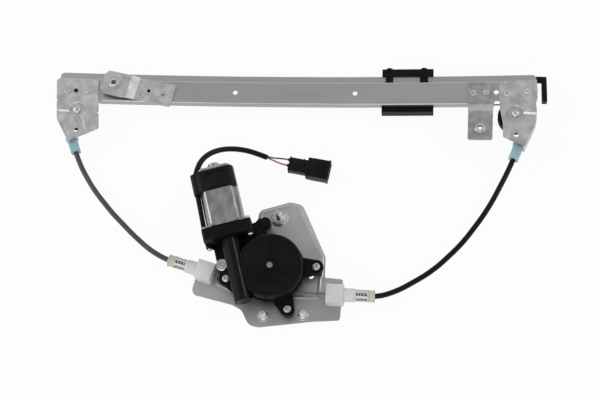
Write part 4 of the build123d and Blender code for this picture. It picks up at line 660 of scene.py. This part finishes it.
pad_line = [tuple(spot) for spot in rounded(pad_edge)]
step_line = [tuple(spot) for spot in rounded(step_edge)]
grid_left, grid_low, grid_step = -79.5, -55.0, 0.9
across_count, along_count = 166, 148
sheet = bmesh.new()
surface = []
for row in range(along_count + 1):
    line = []
    for column in range(across_count + 1):
        spot = Vector((grid_left + column * grid_step, grid_low + row * grid_step))
        inset = depth_in(pad_line, spot)
        height = plate_sheet + step_rise * ease(depth_in(step_line, spot) / slope)
        height += (pad_rise - step_rise) * ease(inset / slope)
        height += lip_rise * ease(inset / slope) * ease((lip_width - inset) / lip_slope)
        for centre, rise in studs:
            far = (spot - Vector(centre)).length
            height = max(height, rise + cone_rise * ease((cone_foot - far) / cone_slope))
        line.append(sheet.verts.new((spot.x, spot.y, height)))
    surface.append(line)
for low_line, high_line in zip(surface, surface[1:]):
    for column in range(across_count):
        sheet.faces.new(
            (low_line[column], low_line[column + 1], high_line[column + 1], high_line[column])
        )
under = bmesh.ops.duplicate(sheet, geom=sheet.faces[:] + sheet.edges[:] + sheet.verts[:])
lower = [item for item in under["geom"] if isinstance(item, bmesh.types.BMVert)]
bmesh.ops.translate(sheet, vec=(0, 0, -plate_sheet), verts=lower)
bmesh.ops.bridge_loops(sheet, edges=[edge for edge in sheet.edges if edge.is_boundary])
bmesh.ops.recalc_face_normals(sheet, faces=sheet.faces)
blank = bpy.data.meshes.new("plate_blank")
sheet.to_mesh(blank)
sheet.free()
blank_piece = bpy.data.objects.new("plate_blank", blank)
bpy.context.scene.collection.objects.link(blank_piece)
cutter_mesh = outline_prism(rounded(plate_edge), plate_holes, hole_radius, -2, 12)
cutter = bpy.data.objects.new("plate_cutter", cutter_mesh)
bpy.context.scene.collection.objects.link(cutter)
trim = blank_piece.modifiers.new("trim", "BOOLEAN")
trim.operation = "INTERSECT"
trim.solver = "EXACT"
trim.object = cutter
bpy.context.view_layer.update()
made = bpy.data.meshes.new_from_object(
    blank_piece.evaluated_get(bpy.context.evaluated_depsgraph_get())
)
for scrap in (blank_piece, cutter):
    bpy.data.objects.remove(scrap)
made.transform(Matrix.Translation(drum_centre) @ Matrix.Scale(millimetre, 4))
plate = bmesh.new()
plate.from_mesh(made)
fit_piece(
    "pressed_plate", plate, plate_grey, stands_for=("base_plate",), sharp=40,
)

# Studs: cold-headed steel with a rolled M6 thread and a round seat, zinc plated. They are pressed
# into the plate's cones from behind.
def over_drum(x, y, z):
    """Place over the drum's centre, in millimetres."""
    return Matrix.Translation(drum_centre) @ shift(x, y, z)


stud_seat = [
    (0, -3.0), (4.6, -3.0), (4.6, -1.4), (3.0, -1.4), (3.0, 0), (6.1, 0), (6.1, 0.6), (5.5, 0.95),
    (4.4, 0.8), (3.6, 1.1), (3.0, 1.7), (2.75, 2.2), (2.75, 3.0),
]
stud_end = [(2.5, 14.1), (2.45, 14.3), (1.9, 15.0), (0, 15.0)]
stud_pieces = bmesh.new()
for (x, y), rise in studs:
    place = over_drum(x, y, rise + cone_rise)
    turned(stud_pieces, stud_seat, place)
    thread(stud_pieces, place, 3.0, 1.0, 0.42, 3.0, 14.2)
    turned(stud_pieces, stud_end, place)
fit_piece(
    "threaded_studs", stud_pieces, bright_zinc, stands_for=("mounting_studs",)
)

# Drum housing, drum, hub, damper and wheel: the drive inside the black mouldings. The drum and
# wheel are natural acetal, the hub, pin and shaft ground steel, and the damper rubber.
natural_acetal = finish("natural_acetal", (0.58, 0.57, 0.5), (0.7, 0.69, 0.62), 0.4)
ground_steel = finish("ground_steel", (0.22, 0.22, 0.22), (0.34, 0.34, 0.34), 0.34, metal=0.95)
dress(moulding_black, "drum_housing", "gear_case_lid", "gear_housing")
dress(natural_acetal, "cable_drum", "worm_wheel")
dress(ground_steel, "drive_hub", "axle_pin", "armature_shaft")
dress(sleeve_rubber, "damper", "lid_seal")

# Gear housing's relief: rings and a beaded rim on the wheel chamber, ribs on the motor's neck, a
# spine along the worm tunnel, grey for a painted highlight, bosses round the can's screws and
# collars on the feet.
worm_aside, worm_height = 0.032, 0.0275
motor_lean = math.radians(16)
motor_way = Vector((-math.sin(motor_lean), math.cos(motor_lean), 0))
outward = Vector((-math.cos(motor_lean), -math.sin(motor_lean), 0))
worm_foot = drum_centre + outward * worm_aside + Vector((0, 0, worm_height))
motor_place = Matrix.Translation(worm_foot) @ Matrix(
    (outward, Vector((0, 0, 1)), motor_way)
).transposed().to_4x4()
# The spine's grey base colour is a painted highlight along the worm tunnel's crest.
spine_highlight_grey = finish(
    "spine_highlight_grey", (0.03, 0.03, 0.031), (0.10, 0.10, 0.102), 0.3, patch=200, shine=0.4
)
spine = bmesh.new()
block(spine, (-4.0, 7.3, -24), (-3.0, 8.5, 36.5), motor_place, 0.35)
fit_piece("tunnel_highlight_spine", spine, spine_highlight_grey)
case_top = over_drum(0, 0, 35.0)
foot_top = 16.5
can_screws = ((-21, 8), (21.4, -7.6))
relief = bmesh.new()
for radius, wide, high in ((27.6, 0.9, 0.35), (17.5, 0.5, 0.3), (6.2, 0.6, 0.45)):
    edge = radius + wide
    ring = [(radius, -0.1), (radius + 0.2, high), (edge - 0.2, high), (edge, -0.1)]
    turned(relief, ring, case_top, 96)
for aside in (-20, -12, -4, 4, 12, 20):
    block(relief, (aside - 0.5, 11.9, 38.5), (aside + 0.5, 13.0, 48.5), motor_place, 0.3)
for aside, up in can_screws:
    boss = [(0, 34.6), (2.9, 34.6), (3.4, 35.2), (3.4, 38.2)]
    turned(relief, boss, motor_place @ shift(aside, up, 0), 28)
for x, y in housing_feet:
    turned(relief, [(4.3, -0.1), (4.5, 0.6), (5.3, 0.6), (5.6, -0.1)], over_drum(x, y, foot_top))
fit_piece("housing_relief", relief, moulding_black)

# Screws and the locating rivet: zinc-plated steel. Each housing screw has a lobed socket in its
# washer face and a rolled thread, and the rivet's dome is turned with two rings.
dress(bright_zinc, "can_screws")
screw_profile = [
    (0, 0.9), (1.3, 0.9, 0.15), (1.4, 2.3, 0.18), (1.8, 2.4), (2.6, 2.3), (3.1, 1.8), (3.2, 0.5),
    (3.6, 0.4), (3.6, 0), (2.0, 0),
]
screw_heads = bmesh.new()
for x, y in housing_feet:
    seat = over_drum(x, y, foot_top)
    turned(screw_heads, screw_profile, seat, 48)
    thread(screw_heads, seat, 2.2, 1.2, 0.4, -9.0, 0.0)
fit_piece("lobed_screws", screw_heads, bright_zinc, stands_for=("housing_screws",))
rivet_profile = [
    (0, 2.0), (1.1, 2.0), (1.5, 2.9), (2.5, 2.9), (3.0, 2.3), (4.1, 2.3), (4.5, 2.8), (5.3, 2.8),
    (6.0, 2.1), (6.0, 0), (3.0, 0), (3.0, -11.5), (0, -11.5),
]
rivet = bmesh.new()
turned(rivet, rivet_profile, over_drum(-48.2, 3.6, foot_top), 56)
fit_piece("ringed_rivet", rivet, bright_zinc, stands_for=("locating_rivet",))
tip_profile = [(0, 34.9), (1.0, 34.9), (1.1, 33.5), (2.2, 33.5), (2.6, 34.0), (2.6, 35.5)]
tips = bmesh.new()
for aside, up in can_screws:
    turned(tips, tip_profile, motor_place @ shift(aside, up, 0), 28)
fit_piece("screw_tips", tips, bright_zinc)

# Motor: zinc-plated drawn can over the magnets, armature, brushes and bushes. Two crimps lock it
# to the gear housing's flange, and a pressed ring runs round its rear boss.
can_zinc = finish(
    "can_zinc", (0.20, 0.20, 0.205), (0.36, 0.36, 0.365), 0.27, metal=0.95, patch=160, grain=1500,
    stretch=(1, 0.4, 1),
)
magnet_grey = finish("magnet_grey", (0.02, 0.02, 0.022), (0.05, 0.05, 0.052), 0.6)
copper_wire = finish("copper_wire", (0.42, 0.15, 0.07), (0.6, 0.25, 0.12), 0.3, metal=1.0)
sintered_bronze = finish("sintered_bronze", (0.38, 0.25, 0.1), (0.5, 0.36, 0.18), 0.4, metal=1.0)
core_steel = finish("core_steel", (0.14, 0.14, 0.15), (0.22, 0.22, 0.23), 0.45, metal=0.9)
dress(can_zinc, "motor_can")
dress(magnet_grey, "field_magnets", "brushes")
dress(copper_wire, "armature_windings", "commutator")
dress(sintered_bronze, "armature_bushes", "glass_inserts")
dress(core_steel, "armature_core")
dress(moulding_black, "brush_holder")
dress(sleeve_rubber, "motor_lead")
crimps = bmesh.new()
turned(crimps, [(7.4, 110.8), (7.7, 111.4), (8.4, 111.4), (8.8, 110.8)], motor_place, 48)
for aside in (-11.5, 11.5):
    block(crimps, (aside - 2.6, 11.4, 49.7), (aside + 2.6, 14.6, 52.4), motor_place, 0.4)
fit_piece("can_crimps", crimps, can_zinc)

# Lead cover: black rubber-like shell clipped round the can's rear, over its flat and its right
# shoulder, with a round channel that holds the lead down to the neck.
can_radius, can_flat, cover_wall = 19.2, 14.1, 1.4
inner_radius, outer_radius = can_radius + 0.05, can_radius + cover_wall
outer_flat = can_flat + cover_wall
left_edge, right_edge = 180 - 24, -14
flat_turn = math.degrees(math.asin(can_flat / can_radius))
corner_turn = flat_turn - 2
channel_centre, channel_radius = (20.0, 7.4), 4.2


def can_arc(radius, start, end, steps=8, centre=(0, 0)):
    """Points round the can's axis, or another centre, from one angle to another."""
    angles = [math.radians(start + (end - start) * step / steps) for step in range(steps + 1)]
    x, y = centre
    return [(x + radius * math.cos(turn), y + radius * math.sin(turn)) for turn in angles]


section = can_arc(outer_radius, left_edge, 180 - corner_turn)
section += can_arc(outer_radius, corner_turn, 38, 3)
section += can_arc(channel_radius, 110, -88, 11, channel_centre)
section += can_arc(outer_radius, 0, right_edge, 3)
section += can_arc(inner_radius, right_edge, flat_turn)
section += can_arc(inner_radius, 180 - flat_turn, left_edge)
cover_shell = bmesh.new()
rings = [
    add_points(cover_shell, motor_place, [(aside, up, along) for aside, up in section])
    for along in (86.0, 107.5)
]
skin(cover_shell, rings, capped=True)
for along in (88, 104):
    low, high = (-9, outer_flat - 0.4, along), (9, outer_flat + 0.35, along + 1)
    block(cover_shell, low, high, motor_place, 0.25)
fit_piece(
    "lead_cover_shell", cover_shell, sleeve_rubber, stands_for=("lead_cover",)
)

# Carrier: black moulding sliding on the rail, with the cables' nipples in its back. A round boss
# stands over each hook, and ribs cross the bar between them.
dress(moulding_black, "slider_carrier")
dress(bright_zinc, "cable_nipples")
carrier_x = 113.0
hook_across, bar_across, bar_rise = 25.2, 24.8, -3.9
boss_profile = [(4.9, -4.0), (4.9, 0.6), (4.3, 1.2), (2.7, 1.3), (2.4, 0.7), (0, 0.7)]
bosses = bmesh.new()
for along in (-18.6, 16.4):
    place = on_rail(carrier_x + along, hook_across, rise=bar_rise)
    turned(bosses, boss_profile, place, 36)
for along in (-9, -3, 3, 8.6):
    place = on_rail(carrier_x + along, bar_across, rise=bar_rise)
    block(bosses, (-0.5, -3.2, -0.3), (0.5, 3.2, 0.45), place, 0.2)
fit_piece("carrier_bosses", bosses, moulding_black, "carrier")

# Floor and light: a white sheet under three soft lamps, which keeps the object's shadow. The
# world lights the object dimly, and is white where it is seen and a soft sky in reflections.
floor_half, floor_level, floor_glow = 4, -0.0002, 0.94
world_dim, sky_low, sky_high = 0.5, 1.7, 0.7
floor_mesh = bpy.data.meshes.new("studio_floor")
floor_mesh.from_pydata(
    [(x, y, floor_level) for x in (-floor_half, floor_half) for y in (-floor_half, floor_half)],
    [],
    [(0, 2, 3, 1)],
)
floor = bpy.data.objects.new("studio_floor", floor_mesh)
bpy.context.scene.collection.objects.link(floor)
floor_white = bpy.data.materials.new("floor_white")
floor_white.use_nodes = True
floor_mesh.materials.append(floor_white)


def seen_white(tree):
    """Socket that is 1 for camera, glossy and transmission rays."""
    path = tree.nodes.new("ShaderNodeLightPath")
    last = path.outputs["Is Camera Ray"]
    for name in ("Is Glossy Ray", "Is Transmission Ray"):
        both = tree.nodes.new("ShaderNodeMath")
        both.operation = "MAXIMUM"
        tree.links.new(last, both.inputs[0])
        tree.links.new(path.outputs[name], both.inputs[1])
        last = both.outputs[0]
    return last


tree = floor_white.node_tree
tree.nodes.remove(tree.nodes["Principled BSDF"])
matt = tree.nodes.new("ShaderNodeBsdfDiffuse")
matt.inputs["Color"].default_value = (0.9, 0.9, 0.9, 1)
glow = tree.nodes.new("ShaderNodeEmission")
share = tree.nodes.new("ShaderNodeMath")
share.operation = "MULTIPLY"
share.inputs[1].default_value = floor_glow
tree.links.new(seen_white(tree), share.inputs[0])
mix = tree.nodes.new("ShaderNodeMixShader")
tree.links.new(share.outputs[0], mix.inputs["Fac"])
tree.links.new(matt.outputs[0], mix.inputs[1])
tree.links.new(glow.outputs[0], mix.inputs[2])
tree.links.new(mix.outputs[0], tree.nodes["Material Output"].inputs["Surface"])

world = bpy.data.worlds.new("studio")
bpy.context.scene.world = world
world.use_nodes = True
tree = world.node_tree
dim = tree.nodes["Background"]
dim.inputs["Color"].default_value = (1, 1, 1, 1)
dim.inputs["Strength"].default_value = world_dim
bright = tree.nodes.new("ShaderNodeBackground")
place = tree.nodes.new("ShaderNodeTexCoord")
split = tree.nodes.new("ShaderNodeSeparateXYZ")
tree.links.new(place.outputs["Generated"], split.inputs["Vector"])
sky = tree.nodes.new("ShaderNodeMapRange")
sky.inputs["From Min"].default_value = 0.25
sky.inputs["From Max"].default_value = 1.0
sky.inputs["To Min"].default_value = sky_low
sky.inputs["To Max"].default_value = sky_high
tree.links.new(split.outputs["Z"], sky.inputs["Value"])
path = tree.nodes.new("ShaderNodeLightPath")
dome = tree.nodes.new("ShaderNodeMix")
dome.inputs[2].default_value = 1.0
tree.links.new(path.outputs["Is Glossy Ray"], dome.inputs[0])
tree.links.new(sky.outputs["Result"], dome.inputs[3])
tree.links.new(dome.outputs[0], bright.inputs["Strength"])
mix = tree.nodes.new("ShaderNodeMixShader")
tree.links.new(seen_white(tree), mix.inputs["Fac"])
tree.links.new(dim.outputs[0], mix.inputs[1])
tree.links.new(bright.outputs[0], mix.inputs[2])
tree.links.new(mix.outputs[0], tree.nodes["World Output"].inputs["Surface"])

for name, spot, width, watts in (
    ("front_lamp", (-0.2, -1.4, 0.85), 1.2, 5.5),
    ("left_lamp", (-1.25, 0.3, 0.8), 0.8, 5),
    ("right_lamp", (1.15, 0.5, 0.95), 0.9, 3.5),
):
    lamp = bpy.data.objects.new(name, bpy.data.lights.new(name, "AREA"))
    lamp.data.size = width
    lamp.data.energy = watts
    lamp.location = spot
    lamp.rotation_euler = (-Vector(spot)).to_track_quat("-Z", "Y").to_euler()
    bpy.context.scene.collection.objects.link(lamp)
